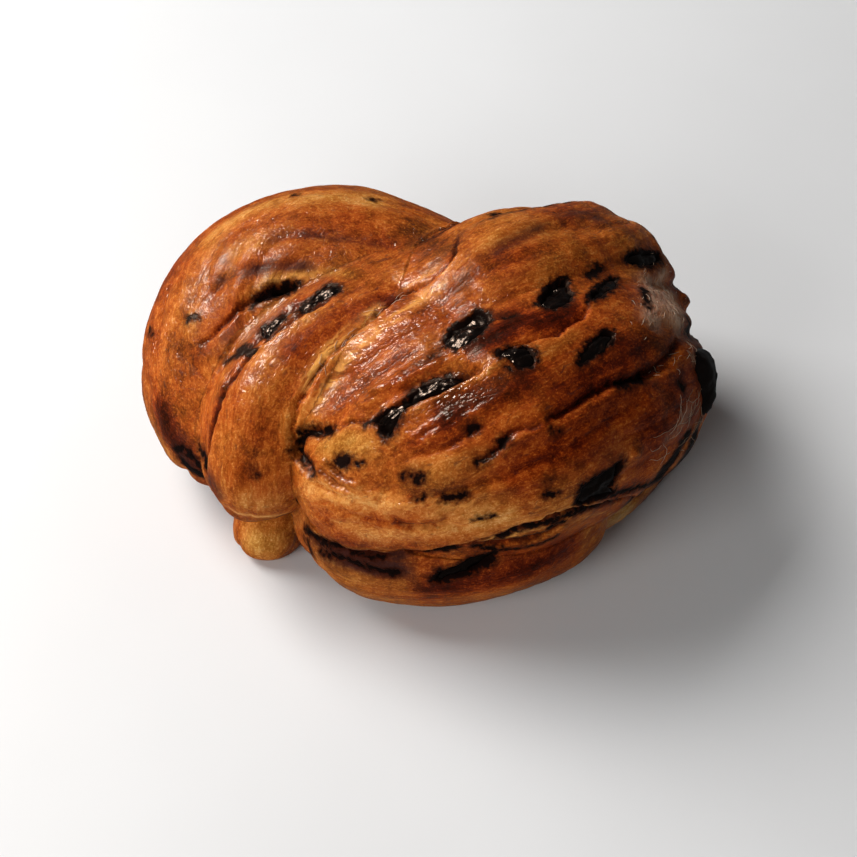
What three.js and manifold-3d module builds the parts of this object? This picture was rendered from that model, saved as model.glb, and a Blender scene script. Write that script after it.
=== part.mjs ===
// A chocolate babka bun: filled dough rolled into strands, knotted over itself and baked on a tray.
// Units are millimetres. +X runs to the right of the bun's front, +Y to its back and +Z up. The origin is
// on the flat underside, below the middle of the knot, so the bun stands on the plane z = 0.
//
// It is made in the order a baker works: each strand is rolled straight with its lengthwise folds, bent
// along its route, and laid on the others. Where strands meet they bake into one piece of bread. The lumps
// of chocolate that show in the crust are pieces of their own, each seated in its pocket in the bread.
import * as THREE from "three";
import { mergeVertices } from "three/addons/utils/BufferGeometryUtils.js";
import Module from "manifold-3d";

// ---- Driving dimensions ----
const SEAT_GAP = 0.3; // clearance between a chocolate lump and its pocket
const FOLD_PITCH = 13; // width of one lengthwise fold of the rolled dough
const FOLD_DEPTH = 1.1; // how far the groove between two folds is pressed in
const FOLD_LEVEL = 0.7; // share of a fold's height that lies below the strand's own radius
const POINTS_PER_FOLD = 4; // facets across one fold
const RING_STEP = 5.6; // spacing of the rings along a strand
const CAP_RINGS = 4; // rings that round off a strand's end
const BEND_MARGIN = 0.85; // how far the inside of a bend may reach towards the bend's centre
const STRAIGHT = 1e-6; // a smaller bend than this counts as none
const MERGE_WITHIN = 1e-4; // points nearer to each other than this are one point
const TRAY_DEPTH = 20; // height of the block that trims the underside flat, below z = 0
const TRAY_REACH = 200; // side of that block, wider than the bun
const CORE = { x: 0, y: 9, halfWidth: 48, halfDepth: 38, height: 24, edge: 9, below: 1, sides: 40 };
const LUMP_DETAIL = 1; // how often the faces of a lump's ball are divided
const LUMP_SINK = 0.45; // how deep a lump's middle lies in the crust, in half heights
const LUMP_DENT = 0.07; // how uneven a lump is, as a share of its size
const LUMP_WAVES = { long: 2.1, wide: 2.9, shift: 1.9 }; // the waves that make each lump uneven its own way

// Each strand's route as [x, y, z, radius] at its turning points, and the turns that its folds make round
// it from end to end. The names say what each stretch of the knot does.
const STRANDS = {
  leftLoop: {
    route: [[6, 28, 34, 16], [-11, 36, 31, 20.5], [-24.5, 35, 27, 24.3], [-36, 28, 23.5, 25],
      [-42.5, 17.5, 21.5, 21.8], [-45, 6, 20, 17.5], [-45, -1, 18, 13]],
    foldDepth: 0.6 * FOLD_DEPTH, twist: 0.1,
  },
  leftInner: {
    route: [[6, 28, 34, 15], [-10, 29, 32, 19], [-24, 24, 29, 20.5], [-34, 11, 26.5, 17], [-39, -4, 22, 13]],
    foldDepth: 0.4 * FOLD_DEPTH, twist: 0,
  },
  innerBand: {
    route: [[6, 23.5, 36, 14], [-7.5, 16, 38, 15], [-21.5, 6, 36, 16], [-32, -6, 32, 15.5],
      [-36.5, -15, 27, 13], [-37.5, -17.5, 23, 11]],
    foldDepth: 0.5 * FOLD_DEPTH, twist: 0,
  },
  crossingUpper: {
    route: [[-18, -11, 34, 11], [-3, 0.5, 38, 18], [15.5, 15, 39, 22], [33, 26, 35, 20.3],
      [42, 29, 28, 16.5], [44, 32, 20, 12.5]],
    foldDepth: FOLD_DEPTH, twist: 0.08,
  },
  crossingLower: {
    route: [[-12, -20, 30, 17], [2.5, -17, 33, 23.5], [19.5, -11, 35, 26.5], [36, 2.5, 31, 25.5],
      [41, 14, 22, 20], [36, 20, 14, 15]],
    foldDepth: FOLD_DEPTH, twist: 0.05,
  },
  frontUnder: {
    route: [[-18, -20, 15, 14.5], [-8.5, -22.4, 16, 17.4], [9, -21.7, 16, 17.5], [22, -17.7, 16, 16],
      [28, -14, 16, 13.5]],
    foldDepth: FOLD_DEPTH, twist: 0,
  },
  backUnder: {
    route: [[40, 32, 13, 14], [28, 39, 13.5, 15.5], [8, 42, 13.5, 16], [-14, 41, 14, 16], [-30, 36, 14, 14]],
    foldDepth: FOLD_DEPTH, twist: 0.06,
  },
  rightTail: {
    route: [[30, -12, 12, 11], [42, -3.6, 8.5, 9], [47, 8, 11, 12], [45, 22, 13, 14]],
    foldDepth: 0.5 * FOLD_DEPTH, twist: 0,
  },
  leftTail: {
    route: [[-33, -6, 15, 10], [-36, -14.6, 4, 7]],
    foldDepth: 0.5 * FOLD_DEPTH, twist: 0,
  },
};

// The lumps of chocolate in the crust. Each lies on a strand, at a share of its route and at an angle round
// it in degrees, from the top towards the side on the right of the route. Then come its full length, width
// and height, and how far its length is turned from the strand's own direction, in degrees.
const LUMPS = [
  { strand: "crossingLower", share: 0.1, angle: 13, size: [9.5, 6.5, 5], turn: 20 },
  { strand: "crossingLower", share: 0.22, angle: 6, size: [11.5, 5, 4.5], turn: 12 },
  { strand: "crossingLower", share: 0.325, angle: -18, size: [11, 5.4, 4.5], turn: 11 },
  { strand: "crossingLower", share: 0.37, angle: 6, size: [9.5, 5.4, 4.5], turn: -10 },
  { strand: "crossingLower", share: 0.495, angle: -16.5, size: [8.8, 7, 4.5], turn: 0 },
  { strand: "crossingLower", share: 0.475, angle: 18, size: [9.5, 4.2, 4], turn: 16 },
  { strand: "crossingLower", share: 0.555, angle: -4.5, size: [8, 5, 4.5], turn: 10 },
  { strand: "crossingUpper", share: 0.65, angle: 22, size: [8.5, 4.6, 4.5], turn: 12 },
  { strand: "crossingLower", share: 0.415, angle: 76, size: [11, 7, 5], turn: 10 },
  { strand: "crossingLower", share: 0.64, angle: 60, size: [16, 8, 7.5], turn: 57 },
  { strand: "leftInner", share: 0.65, angle: 5, size: [11, 4, 4], turn: -35 },
  { strand: "innerBand", share: 0.365, angle: 10.5, size: [10.5, 4.2, 3.6], turn: -11 },
  { strand: "innerBand", share: 0.47, angle: 27, size: [8.5, 4.2, 3.6], turn: -9 },
  { strand: "frontUnder", share: 0.455, angle: 74, size: [15, 4.2, 4], turn: 10 },
  { strand: "leftLoop", share: 0.28, angle: 55, size: [11, 5, 4.5], turn: 5 },
  { strand: "leftLoop", share: 0.62, angle: 78, size: [9, 5, 4.5], turn: -10 },
  { strand: "crossingUpper", share: 0.55, angle: -60, size: [12, 5, 4.5], turn: 8 },
  { strand: "backUnder", share: 0.45, angle: 66, size: [10, 5, 4], turn: -6 },
  { strand: "crossingLower", share: 0.74, angle: 62, size: [9, 5.6, 4.5], turn: 0 },
];

// ---- The strand: rolled straight, then bent ----
const UP = new THREE.Vector3(0, 0, 1);

// The centreline and the radius along it, both smooth through the route's turning points.
function strandRoute(route) {
  const line = new THREE.CatmullRomCurve3(route.map(([x, y, z]) => new THREE.Vector3(x, y, z)));
  const radii = new THREE.SplineCurve(route.map((point, i) => new THREE.Vector2(i, point[3])));
  return { line, length: line.getLength(), radiusAt: (t) => radii.getPoint(t).y };
}

// Where a strand is at share t of its route: its middle, its radius, the two directions across it, and the
// bend, a vector towards the inside of the bend whose length is the curvature there.
function station({ line, length, radiusAt }, t) {
  const along = line.getTangent(t);
  const side = new THREE.Vector3().crossVectors(along, UP).normalize();
  const lift = new THREE.Vector3().crossVectors(side, along);
  const ahead = line.getTangent(Math.min(1, t + 1 / length));
  const bend = ahead.sub(line.getTangent(Math.max(0, t - 1 / length))).multiplyScalar(0.5);
  return { middle: line.getPoint(t), radius: radiusAt(t), along, side, lift, bend };
}

// The direction across a strand at an angle from its top towards its side.
function outward({ lift, side }, angle) {
  return lift.clone().multiplyScalar(Math.cos(angle)).addScaledVector(side, Math.sin(angle));
}

// How far the surface stands out at an angle round the strand: round folds with narrow grooves between.
function foldRelief(angle, folds, depth) {
  return 2 * depth * (Math.abs(Math.cos((folds * angle) / 2)) - FOLD_LEVEL);
}

// The outline of a straight roll for a lathe: radius 1, with the height standing for the share of the
// route, and past both ends a round cap whose height is in radii.
function rollProfile(rings) {
  const profile = [];
  for (let i = 0; i <= CAP_RINGS; i++) {
    const turn = ((i / CAP_RINGS) * Math.PI) / 2;
    profile.push(new THREE.Vector2(Math.sin(turn), -Math.cos(turn)));
  }
  for (let i = 1; i < rings; i++) profile.push(new THREE.Vector2(1, i / rings));
  for (let i = CAP_RINGS; i >= 0; i--) {
    const turn = ((i / CAP_RINGS) * Math.PI) / 2;
    profile.push(new THREE.Vector2(Math.sin(turn), 1 + Math.cos(turn)));
  }
  return profile;
}

// One strand as a closed geometry: the straight roll, each of whose points is then moved to its place along
// the bent centreline. On the inside of a tight bend the roll is pressed in so that it doesn't fold over.
function strandGeometry({ route, foldDepth, twist }) {
  const path = strandRoute(route);
  const widest = Math.max(...route.map((point) => point[3]));
  const folds = Math.round((2 * Math.PI * widest) / FOLD_PITCH);
  const rings = Math.ceil(path.length / RING_STEP);
  const geometry = bareGeometry(new THREE.LatheGeometry(rollProfile(rings), folds * POINTS_PER_FOLD));
  const points = geometry.getAttribute("position");
  const point = new THREE.Vector3();
  for (let i = 0; i < points.count; i++) {
    point.fromBufferAttribute(points, i);
    const share = THREE.MathUtils.clamp(point.y, 0, 1);
    const past = point.y - share; // in radii, beyond the strand's end
    const at = station(path, share);
    const open = Math.hypot(point.x, point.z); // 1 along the strand, down to 0 at the tip of its end
    const angle = Math.atan2(point.x, point.z);
    const relief = foldRelief(angle + 2 * Math.PI * twist * share, folds, foldDepth) * open ** 2;
    const direction = outward(at, angle);
    const reach = at.radius * open + relief;
    const limit = BEND_MARGIN / Math.max(STRAIGHT, at.bend.dot(direction));
    const bent = at.middle.clone();
    bent.addScaledVector(direction, Math.min(reach, limit));
    bent.addScaledVector(at.along, past * at.radius);
    points.setXYZ(i, bent.x, bent.y, bent.z);
  }
  return geometry;
}

// ---- Joining and cutting ----
const wasm = await Module();
wasm.setup();

function bareGeometry(geometry) {
  const bare = geometry.clone();
  bare.deleteAttribute("normal");
  bare.deleteAttribute("uv");
  return mergeVertices(bare, MERGE_WITHIN);
}

function toSolid(geometry) {
  const bare = bareGeometry(geometry);
  const mesh = new wasm.Mesh({
    numProp: 3,
    vertProperties: new Float32Array(bare.getAttribute("position").array),
    triVerts: new Uint32Array(bare.index.array),
  });
  const solid = new wasm.Manifold(mesh);
  if (solid.volume() > 0) return solid;
  mesh.triVerts = mesh.triVerts.map((_, i, all) => all[i - (i % 3) + [0, 2, 1][i % 3]]); // turned inside out
  return new wasm.Manifold(mesh);
}

function toGeometry(solid) {
  const { vertProperties, triVerts } = solid.getMesh();
  const geometry = new THREE.BufferGeometry();
  geometry.setAttribute("position", new THREE.BufferAttribute(vertProperties, 3));
  geometry.setIndex(new THREE.BufferAttribute(triVerts, 1));
  geometry.computeVertexNormals();
  return geometry;
}

// The bread under the middle of the knot, where the strands have grown together: a slab that is widest a
// little above the tray, hidden by the strands round it.
function coreGeometry() {
  const { halfWidth, halfDepth, height, edge, below, sides, x, y } = CORE;
  const narrow = 1 - edge / halfWidth;
  const outline = [[0, -below], [narrow, -below], [1, edge], [narrow, height], [0, height]];
  const geometry = new THREE.LatheGeometry(outline.map(([r, z]) => new THREE.Vector2(r, z)), sides);
  geometry.rotateX(Math.PI / 2);
  geometry.scale(halfWidth, halfDepth, 1);
  return geometry.translate(x, y, 0);
}

// ---- The bread ----
// Spaces shut in between the strands have closed up in the oven, so only the outer skin is kept.
function outerSkin(solid) {
  return solid.decompose().reduce((most, body) => (body.volume() > most.volume() ? body : most));
}

function breadSolid() {
  let bread = toSolid(coreGeometry());
  for (const strand of Object.values(STRANDS)) bread = bread.add(toSolid(strandGeometry(strand)));
  const tray = new THREE.BoxGeometry(TRAY_REACH, TRAY_REACH, TRAY_DEPTH);
  tray.translate(0, 0, -TRAY_DEPTH / 2);
  return outerSkin(bread.subtract(toSolid(tray)));
}

// ---- The chocolate ----
// A lump as a ball that is pressed out of round, stretched to its size, turned along its strand and sunk
// into the crust. The same ball a little larger is its pocket.
function lumpGeometry({ strand, share, angle, size, turn }, index, grow) {
  const at = station(strandRoute(STRANDS[strand].route), share);
  const normal = outward(at, THREE.MathUtils.degToRad(angle));
  const length = at.along.clone().applyAxisAngle(normal, THREE.MathUtils.degToRad(turn));
  const width = new THREE.Vector3().crossVectors(normal, length);
  const middle = at.middle.clone().addScaledVector(normal, at.radius - (LUMP_SINK * size[2]) / 2);
  const geometry = bareGeometry(new THREE.IcosahedronGeometry(1, LUMP_DETAIL));
  const points = geometry.getAttribute("position");
  const point = new THREE.Vector3();
  for (let i = 0; i < points.count; i++) {
    point.fromBufferAttribute(points, i);
    const shift = LUMP_WAVES.shift * index;
    const waves = Math.sin(LUMP_WAVES.long * point.x + shift) + Math.cos(LUMP_WAVES.wide * point.y + shift);
    const swell = 1 + LUMP_DENT * waves;
    point.set(...["x", "y", "z"].map((axis, k) => point[axis] * ((size[k] / 2) * swell + grow)));
    const placed = middle.clone().addScaledVector(length, point.x);
    placed.addScaledVector(width, point.y).addScaledVector(normal, point.z);
    points.setXYZ(i, placed.x, placed.y, placed.z);
  }
  return geometry;
}

// ---- The bun ----
const CRUST = new THREE.MeshStandardMaterial({ color: 0xa85a26, roughness: 0.45, metalness: 0 });
const CHOCOLATE = new THREE.MeshStandardMaterial({ color: 0x1c1110, roughness: 0.25, metalness: 0 });

const babka = new THREE.Group();
let breadLeft = breadSolid();
LUMPS.forEach((lump, index) => {
  breadLeft = breadLeft.subtract(toSolid(lumpGeometry(lump, index, SEAT_GAP)));
  const chocolate = new THREE.Mesh(lumpGeometry(lump, index, 0), CHOCOLATE);
  chocolate.name = `chocolate_${String(index + 1).padStart(2, "0")}`;
  babka.add(chocolate);
});
const bread = new THREE.Mesh(toGeometry(breadLeft), CRUST);
bread.name = "bread";
babka.add(bread);

export default babka;
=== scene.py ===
# %% [markdown]
# # A chocolate babka bun
#
# A babka bun is a sheet of sweet dough spread with chocolate and rolled up. The roll is cut open, so that
# its layers show as lengthwise folds, and the strands are knotted over each other. It is brushed with egg
# and baked on a tray. So there are three things to make: the knot, the folds that run along every strand
# with chocolate between them, and the shiny brown skin.
#
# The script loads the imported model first. It gives the frame: where the bun stands, how large it is and
# where each lump of chocolate sits.

import math

import bmesh
import bpy
import numpy as np
from mathutils import Matrix, Vector
from mathutils.bvhtree import BVHTree


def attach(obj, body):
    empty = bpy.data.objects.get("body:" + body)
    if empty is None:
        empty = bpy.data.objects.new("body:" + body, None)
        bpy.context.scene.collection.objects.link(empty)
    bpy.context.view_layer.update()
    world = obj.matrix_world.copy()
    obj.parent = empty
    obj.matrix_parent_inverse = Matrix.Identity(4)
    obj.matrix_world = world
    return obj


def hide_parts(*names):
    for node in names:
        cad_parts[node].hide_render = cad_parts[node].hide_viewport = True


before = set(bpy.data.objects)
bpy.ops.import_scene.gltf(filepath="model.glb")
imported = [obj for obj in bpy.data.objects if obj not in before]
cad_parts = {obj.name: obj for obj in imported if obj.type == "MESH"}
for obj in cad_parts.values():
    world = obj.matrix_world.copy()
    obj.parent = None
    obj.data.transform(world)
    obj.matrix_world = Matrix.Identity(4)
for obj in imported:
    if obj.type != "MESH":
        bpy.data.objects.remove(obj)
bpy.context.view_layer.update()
MM = 0.001  # the frame is in metres; lengths below are in millimetres, as on the construction drawing

# %% [markdown]
# ## The camera
#
# The bun is seen from the front and from about 50 degrees above the floor. A long lens from a little under
# half a metre away keeps its lines nearly parallel. The camera could be aimed a little low so that the bun
# sits above the middle of the picture, but a small lens shift does that without turning the view. Looking
# straight at LOOK_AT also makes it easy to say which point of the picture a point of the bun falls on, and
# that is used below to draw folds where they are seen.

# %% The camera
IMAGE_SIDE = 857  # pixels
PIXELS_PER_MM = 4.56  # at the point the camera looks at
ELEVATION = math.radians(50)
DISTANCE = 430.0
LOOK_AT = np.array([0.0, 0.0, 30.0])
LOOK_AT_PIXEL = np.array([429.0, 397.0])
SENSOR = 36.0
CLIP_START = 0.01  # metres

BACK = np.array([0.0, -math.cos(ELEVATION), math.sin(ELEVATION)])
RIGHT = np.array([1.0, 0.0, 0.0])
RISE = np.cross(BACK, RIGHT)
EYE = LOOK_AT + DISTANCE * BACK
FOCAL_PIXELS = DISTANCE * PIXELS_PER_MM


def add_object(name, data):
    """A new object in the scene."""
    made = bpy.data.objects.new(name, data)
    bpy.context.collection.objects.link(made)
    return made


def make_camera():
    data = bpy.data.cameras.new("camera")
    data.sensor_width = SENSOR
    data.lens = FOCAL_PIXELS / IMAGE_SIDE * SENSOR
    data.shift_y = (LOOK_AT_PIXEL[1] - IMAGE_SIDE / 2) / IMAGE_SIDE
    data.clip_start = CLIP_START
    camera = add_object("camera", data)
    turn = Matrix([RIGHT, RISE, BACK]).transposed().to_4x4()
    camera.matrix_world = Matrix.Translation(Vector(EYE) * MM) @ turn
    bpy.context.scene.camera = camera


make_camera()
print("lens", round(bpy.context.scene.camera.data.lens, 1), "mm")

# %% [markdown]
# ## Smooth random values
#
# Nothing on a baked bun is even. The script needs randomness that is smooth, repeats exactly on every run,
# and works on a hundred thousand points at once. Blender's own noise works on one point per call, so this
# is the same idea in arrays: a random value at each corner of a grid of cells, blended inside the cells.

# %% Smooth random values
HASH_STEPS = np.array([73856093, 19349663, 83492791], dtype=np.int64)
HASH_MIX = 2654435761
HASH_SHIFT, HASH_BITS = 15, 0xFFFFFF
SEED_STEP = 977
OCTAVES = 2
OCTAVE_SCALE, OCTAVE_SEED = 2.03, 31  # how much finer each octave is, and how far apart their seeds are


def smooth_noise(points, seed):
    """A smooth random value between -1 and 1 for each point, changing over a distance of about 1."""
    low = np.floor(points).astype(np.int64)
    part = points - low
    fade = part**3 * (part * (part * 6 - 15) + 10)
    total = np.zeros(len(points))
    for corner in np.ndindex(2, 2, 2):
        spot = (low + corner) * HASH_STEPS
        mixed = (spot[:, 0] ^ spot[:, 1] ^ spot[:, 2] ^ (seed * SEED_STEP)) * HASH_MIX
        value = ((mixed ^ (mixed >> HASH_SHIFT)) & HASH_BITS) / HASH_BITS * 2 - 1
        weight = np.where(corner, fade, 1 - fade).prod(axis=1)
        total += value * weight
    return total


def rough_noise(points, seed):
    """Noise with finer and finer detail on top, each octave half as strong."""
    return sum(smooth_noise(points * OCTAVE_SCALE**k, seed + OCTAVE_SEED * k) / 2**k for k in range(OCTAVES))


print("noise at the origin", smooth_noise(np.full((1, 3), 0.5), 1).round(3))

# %% [markdown]
# ## The strands of the knot
#
# Each strand is a line of turning points with a radius at each. They are the construction's own, moved by a
# millimetre or two where the picture's outline asks for it. A curve through them gives the strand's middle.
# Blender could sweep a curve object along it, but the next steps need to know, for any point in space, how
# far it is from each strand and where along and round that strand it lies. So the strands are kept as plain
# lists of short cones.

# %% The strands of the knot
STRANDS = {  # turning points as x, y, z and radius
    "left_loop": [[6, 26.3, 32.2, 13.8], [-11, 34.3, 29.8, 19], [-24.5, 34.4, 27, 23.8],
                  [-36, 28, 23.5, 25.4], [-42.4, 17.8, 21.7, 22.5], [-44.2, 6, 20, 17.6],
                  [-43.7, 1.6, 19.4, 10.4]],
    "left_inner": [[6, 27.3, 32.7, 14.2], [-10, 29, 32, 19], [-24, 24, 29, 20.5], [-34, 11, 26.5, 17],
                   [-39, -3.5, 22.5, 12.7]],
    "inner_band": [[6, 23.5, 36, 14], [-7.5, 16, 38, 15], [-21.5, 6, 36, 16], [-32, -6, 32, 15.5],
                   [-35.8, -15, 27, 12.7], [-36.4, -17, 23.5, 10.6]],
    "crossing_upper": [[-18, -11, 34, 11], [-2.3, -1, 38, 16.7], [6.8, 6.5, 39, 17.8], [15.5, 15, 39, 22.4],
                       [33.5, 25.5, 34.6, 19.6], [42, 29, 28.3, 16.4], [43.6, 31.5, 20, 12]],
    "crossing_lower": [[-12, -20, 30, 17], [2.5, -17, 33, 23.5], [11, -14.4, 34.3, 25.4],
                       [19.5, -11, 35, 26.5], [35.5, 2.5, 31.3, 25], [40, 13, 22, 19.3], [36, 20, 14, 14.5]],
    "front_under": [[-17, -19.5, 15.5, 12.6], [-8, -23, 16, 17.2], [9, -22.4, 16, 17.5], [22, -18, 16, 16],
                    [26.2, -14.5, 16, 12.2]],
    "back_under": [[40, 31, 13, 14], [28, 39, 13.5, 15.5], [8, 42, 13.5, 16], [-14, 41, 14, 16],
                   [-30, 36, 14, 14]],
    "right_tail": [[30, -12, 12, 11], [42, -3.6, 8.5, 9], [46, 8, 11, 11.4], [44, 22, 13, 13.5]],
    "left_tail": [[-33, -6, 15, 10], [-35.6, -15.9, 4, 7.7]],
}
# Strands that have risen into each other and read as one roll, and how softly (mm) each lot blends.
GROWN_TOGETHER = [(("left_loop", "left_inner"), 2.5), (("crossing_upper", "crossing_lower"), 1.8),
                  (("inner_band", "crossing_upper"), 3.0)]
FILLET = 0.5  # how softly strands that only touch meet, in mm
CONES_PER_SPAN = 5


def smooth_line(turns, steps):
    """Catmull-Rom curve through rows of numbers, with steps pieces between two rows."""
    turns = np.array(turns, dtype=float)
    ends = np.vstack([2 * turns[0] - turns[1], turns, 2 * turns[-1] - turns[-2]])
    shares = np.linspace(0, len(turns) - 1, steps * (len(turns) - 1) + 1)
    first = np.minimum(shares.astype(int), len(turns) - 2)
    u = (shares - first)[:, None]
    a, b, c, d = (ends[first + k] for k in range(4))
    return 0.5 * (2 * b + (c - a) * u + (2 * a - 5 * b + 4 * c - d) * u**2 + (3 * b - a - 3 * c + d) * u**3)


def line_length(places):
    return float(np.linalg.norm(np.diff(places, axis=0), axis=1).sum())


LINES = {name: smooth_line(turns, CONES_PER_SPAN) for name, turns in STRANDS.items()}
NAMES = list(LINES)
print({name: round(line_length(line[:, :3])) for name, line in LINES.items()}, "mm long")

# %% How far a point is from each strand
REACH = 7.0  # beyond this distance from a strand, its exact distance doesn't matter
FAR_AWAY = 1e3  # mm, more than any distance on the bun


def near_strand(points, line):
    """Distance of each point from one strand's surface, and the way out of it."""
    gap = np.full(len(points), FAR_AWAY)
    out = np.zeros_like(points)
    low = (line[:, :3] - line[:, 3:]).min(axis=0) - REACH
    high = (line[:, :3] + line[:, 3:]).max(axis=0) + REACH
    close = np.flatnonzero(((points > low) & (points < high)).all(axis=1))
    here = points[close]
    best_gap, best_out = gap[close], out[close]
    for start, end in zip(line[:-1], line[1:]):
        step = end[:3] - start[:3]
        share = np.clip((here - start[:3]) @ step / (step @ step), 0, 1)
        offset = here - start[:3] - share[:, None] * step
        length = np.linalg.norm(offset, axis=1)
        distance = length - start[3] - share * (end[3] - start[3])
        nearer = distance < best_gap
        best_gap[nearer] = distance[nearer]
        best_out[nearer] = offset[nearer] / length[nearer, None]
    gap[close], out[close] = best_gap, best_out
    return gap, out


def blend(pairs, softness):
    """Smooth union: one distance and one way out from several strands'."""
    gaps, outs = (np.array(part) for part in zip(*pairs))
    weights = np.exp(-(gaps - gaps.min(axis=0)) / softness)
    total = weights.sum(axis=0)
    gap = gaps.min(axis=0) - softness * np.log(total)
    out = (weights[:, :, None] * outs).sum(axis=0) / total[:, None]
    return gap, out / np.maximum(np.linalg.norm(out, axis=1, keepdims=True), 1e-6)


def near_knot(points):
    """Distance from the whole knot's surface and the way out of it, and each strand's own figures."""
    each = {name: near_strand(points, line) for name, line in LINES.items()}
    joined = [blend([each[name] for name in lot], softness) for lot, softness in GROWN_TOGETHER]
    grown = {name for lot, _ in GROWN_TOGETHER for name in lot}
    joined += [each[name] for name in NAMES if name not in grown]
    gap, out = blend(joined, FILLET)
    return gap, out, each


depth_there = -float(near_knot(LOOK_AT[None])[0][0])
print("the point the camera looks at lies", round(depth_there, 1), "mm deep in the bun")

# %% [markdown]
# ## The knot as one skin
#
# Swept tubes that run into each other leave hidden walls inside and hard seams outside. A voxel remesh
# melts them into one closed skin with even faces, which can then be pulled onto the smooth union of the
# strands and sculpted. Half a millimetre a face is fine enough for the folds and the edges of the layers.
# It is also more faces than one piece may have, so the flat stretches are thinned out after the sculpting.

# %% The knot as one skin
VOXEL = 0.52
TUBE_SIDES = 40
CAP_RINGS = 7
SLAB = {"x": 0, "y": 9, "half_width": 48, "half_depth": 38, "height": 24, "edge": 9}  # under the knot


def ring_faces(rings, sides):
    """Faces between rings of points that follow each other, closed at both ends."""
    faces = []
    for ring in range(rings - 1):
        for k in range(sides):
            a, b = ring * sides + k, ring * sides + (k + 1) % sides
            faces.append((a, b, b + sides, a + sides))
    faces.append(tuple(range(sides))[::-1])
    faces.append(tuple(range((rings - 1) * sides, rings * sides)))
    return faces


def directions(line):
    """The way ahead at each point of a line."""
    along = np.gradient(line[:, :3], axis=0)
    return along / np.linalg.norm(along, axis=1, keepdims=True)


def tube(line, sides=TUBE_SIDES, cap_rings=CAP_RINGS):
    """Points and faces of one strand with round ends."""
    turns = np.linspace(0, 2 * math.pi, sides, endpoint=False)
    bend = np.linspace(0, math.pi / 2, cap_rings, endpoint=False)
    along = directions(line)
    rings = [(line[0], along[0], -math.sin(b), math.cos(b)) for b in bend[:0:-1]]
    rings += [(at, ahead, 0.0, 1.0) for at, ahead in zip(line, along)]
    rings += [(line[-1], along[-1], math.sin(b), math.cos(b)) for b in bend[1:]]
    points = []
    for at, ahead, past, open_ in rings:
        side = np.cross(ahead, [0, 0, 1])
        side /= np.linalg.norm(side)
        lift = np.cross(side, ahead)
        circle = np.cos(turns)[:, None] * lift + np.sin(turns)[:, None] * side
        points.append(at[:3] + past * at[3] * ahead + open_ * at[3] * circle)
    points = np.vstack(points)
    return points, ring_faces(len(rings), sides)


def slab():
    """The bread under the middle of the knot, widest a little above the tray."""
    turns = np.linspace(0, 2 * math.pi, TUBE_SIDES, endpoint=False)
    narrow = 1 - SLAB["edge"] / SLAB["half_width"]
    rings = [(narrow, -1), (1, SLAB["edge"]), (narrow, SLAB["height"])]
    oval = np.stack([SLAB["half_width"] * np.cos(turns), SLAB["half_depth"] * np.sin(turns)], axis=1)
    points = [np.column_stack([oval * scale + [SLAB["x"], SLAB["y"]], np.full(TUBE_SIDES, z)])
              for scale, z in rings]
    return np.vstack(points), ring_faces(len(rings), TUBE_SIDES)


def join(parts):
    """Several point and face lists as one."""
    points, faces, start = [], [], 0
    for part_points, part_faces in parts:
        points.append(part_points)
        faces += [tuple(start + k for k in face) for face in part_faces]
        start += len(part_points)
    return np.vstack(points), faces


def new_mesh(name, points, faces):
    mesh = bpy.data.meshes.new(name)
    mesh.from_pydata(np.asarray(points).tolist(), [], faces)
    return mesh


def mesh_arrays(mesh):
    """A mesh's points and its corners' indices."""
    points = np.empty(len(mesh.vertices) * 3, dtype=np.float32)
    mesh.vertices.foreach_get("co", points)
    corners = np.empty(len(mesh.loops), dtype=np.int32)
    mesh.loops.foreach_get("vertex_index", corners)
    return points.reshape(-1, 3).astype(float), corners


def with_modifier(mesh, kind, **settings):
    """The mesh as it comes out of one modifier."""
    carrier = add_object("carrier", mesh)
    modifier = carrier.modifiers.new(kind, kind)
    for key, value in settings.items():
        setattr(modifier, key, value)
    graph = bpy.context.evaluated_depsgraph_get()
    made = bpy.data.meshes.new_from_object(carrier.evaluated_get(graph))
    bpy.data.objects.remove(carrier)
    bpy.data.meshes.remove(mesh)
    return made


rough = new_mesh("rough", *join([tube(line) for line in LINES.values()] + [slab()]))
skin = with_modifier(rough, "REMESH", mode="VOXEL", voxel_size=VOXEL)
print("skin:", len(skin.vertices), "points")


# %% Pull the skin onto the smooth union
def neighbours(faces):
    """Both ends of every edge, once each way, for a closed mesh whose faces all have the same side count."""
    return faces.ravel(), np.roll(faces, -1, axis=1).ravel()


def neighbour_sum(values, here, there):
    """For each point, its neighbours' values added up."""
    columns = [np.bincount(here, weights=values[there, k], minlength=len(values)) for k in range(3)]
    return np.stack(columns, axis=1)


def relax(points, faces, strength):
    """Moves every point towards the middle of its neighbours, which evens out the faces."""
    here, there = neighbours(faces)
    count = np.bincount(here, minlength=len(points))[:, None]
    return points + strength * (neighbour_sum(points, here, there) / count - points)


def normals_of(points, faces):
    """The direction out of the skin at each point of a mesh of four-sided faces."""
    across = np.cross(points[faces[:, 2]] - points[faces[:, 0]], points[faces[:, 3]] - points[faces[:, 1]])
    columns = [np.bincount(faces.ravel(), weights=np.repeat(across[:, k], 4), minlength=len(points))
               for k in range(3)]
    total = np.stack(columns, axis=1)
    return total / np.maximum(np.linalg.norm(total, axis=1, keepdims=True), 1e-9)


PULL_ROUNDS = 4
PULL_LIMIT = 1.5  # mm a point may move in one round
EVENED_BY = 0.5  # the share of the way to its neighbours' middle that a point goes before each pull
SLAB_CLEARANCE = 2.5  # points this far outside every strand belong to the slab and stay

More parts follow.
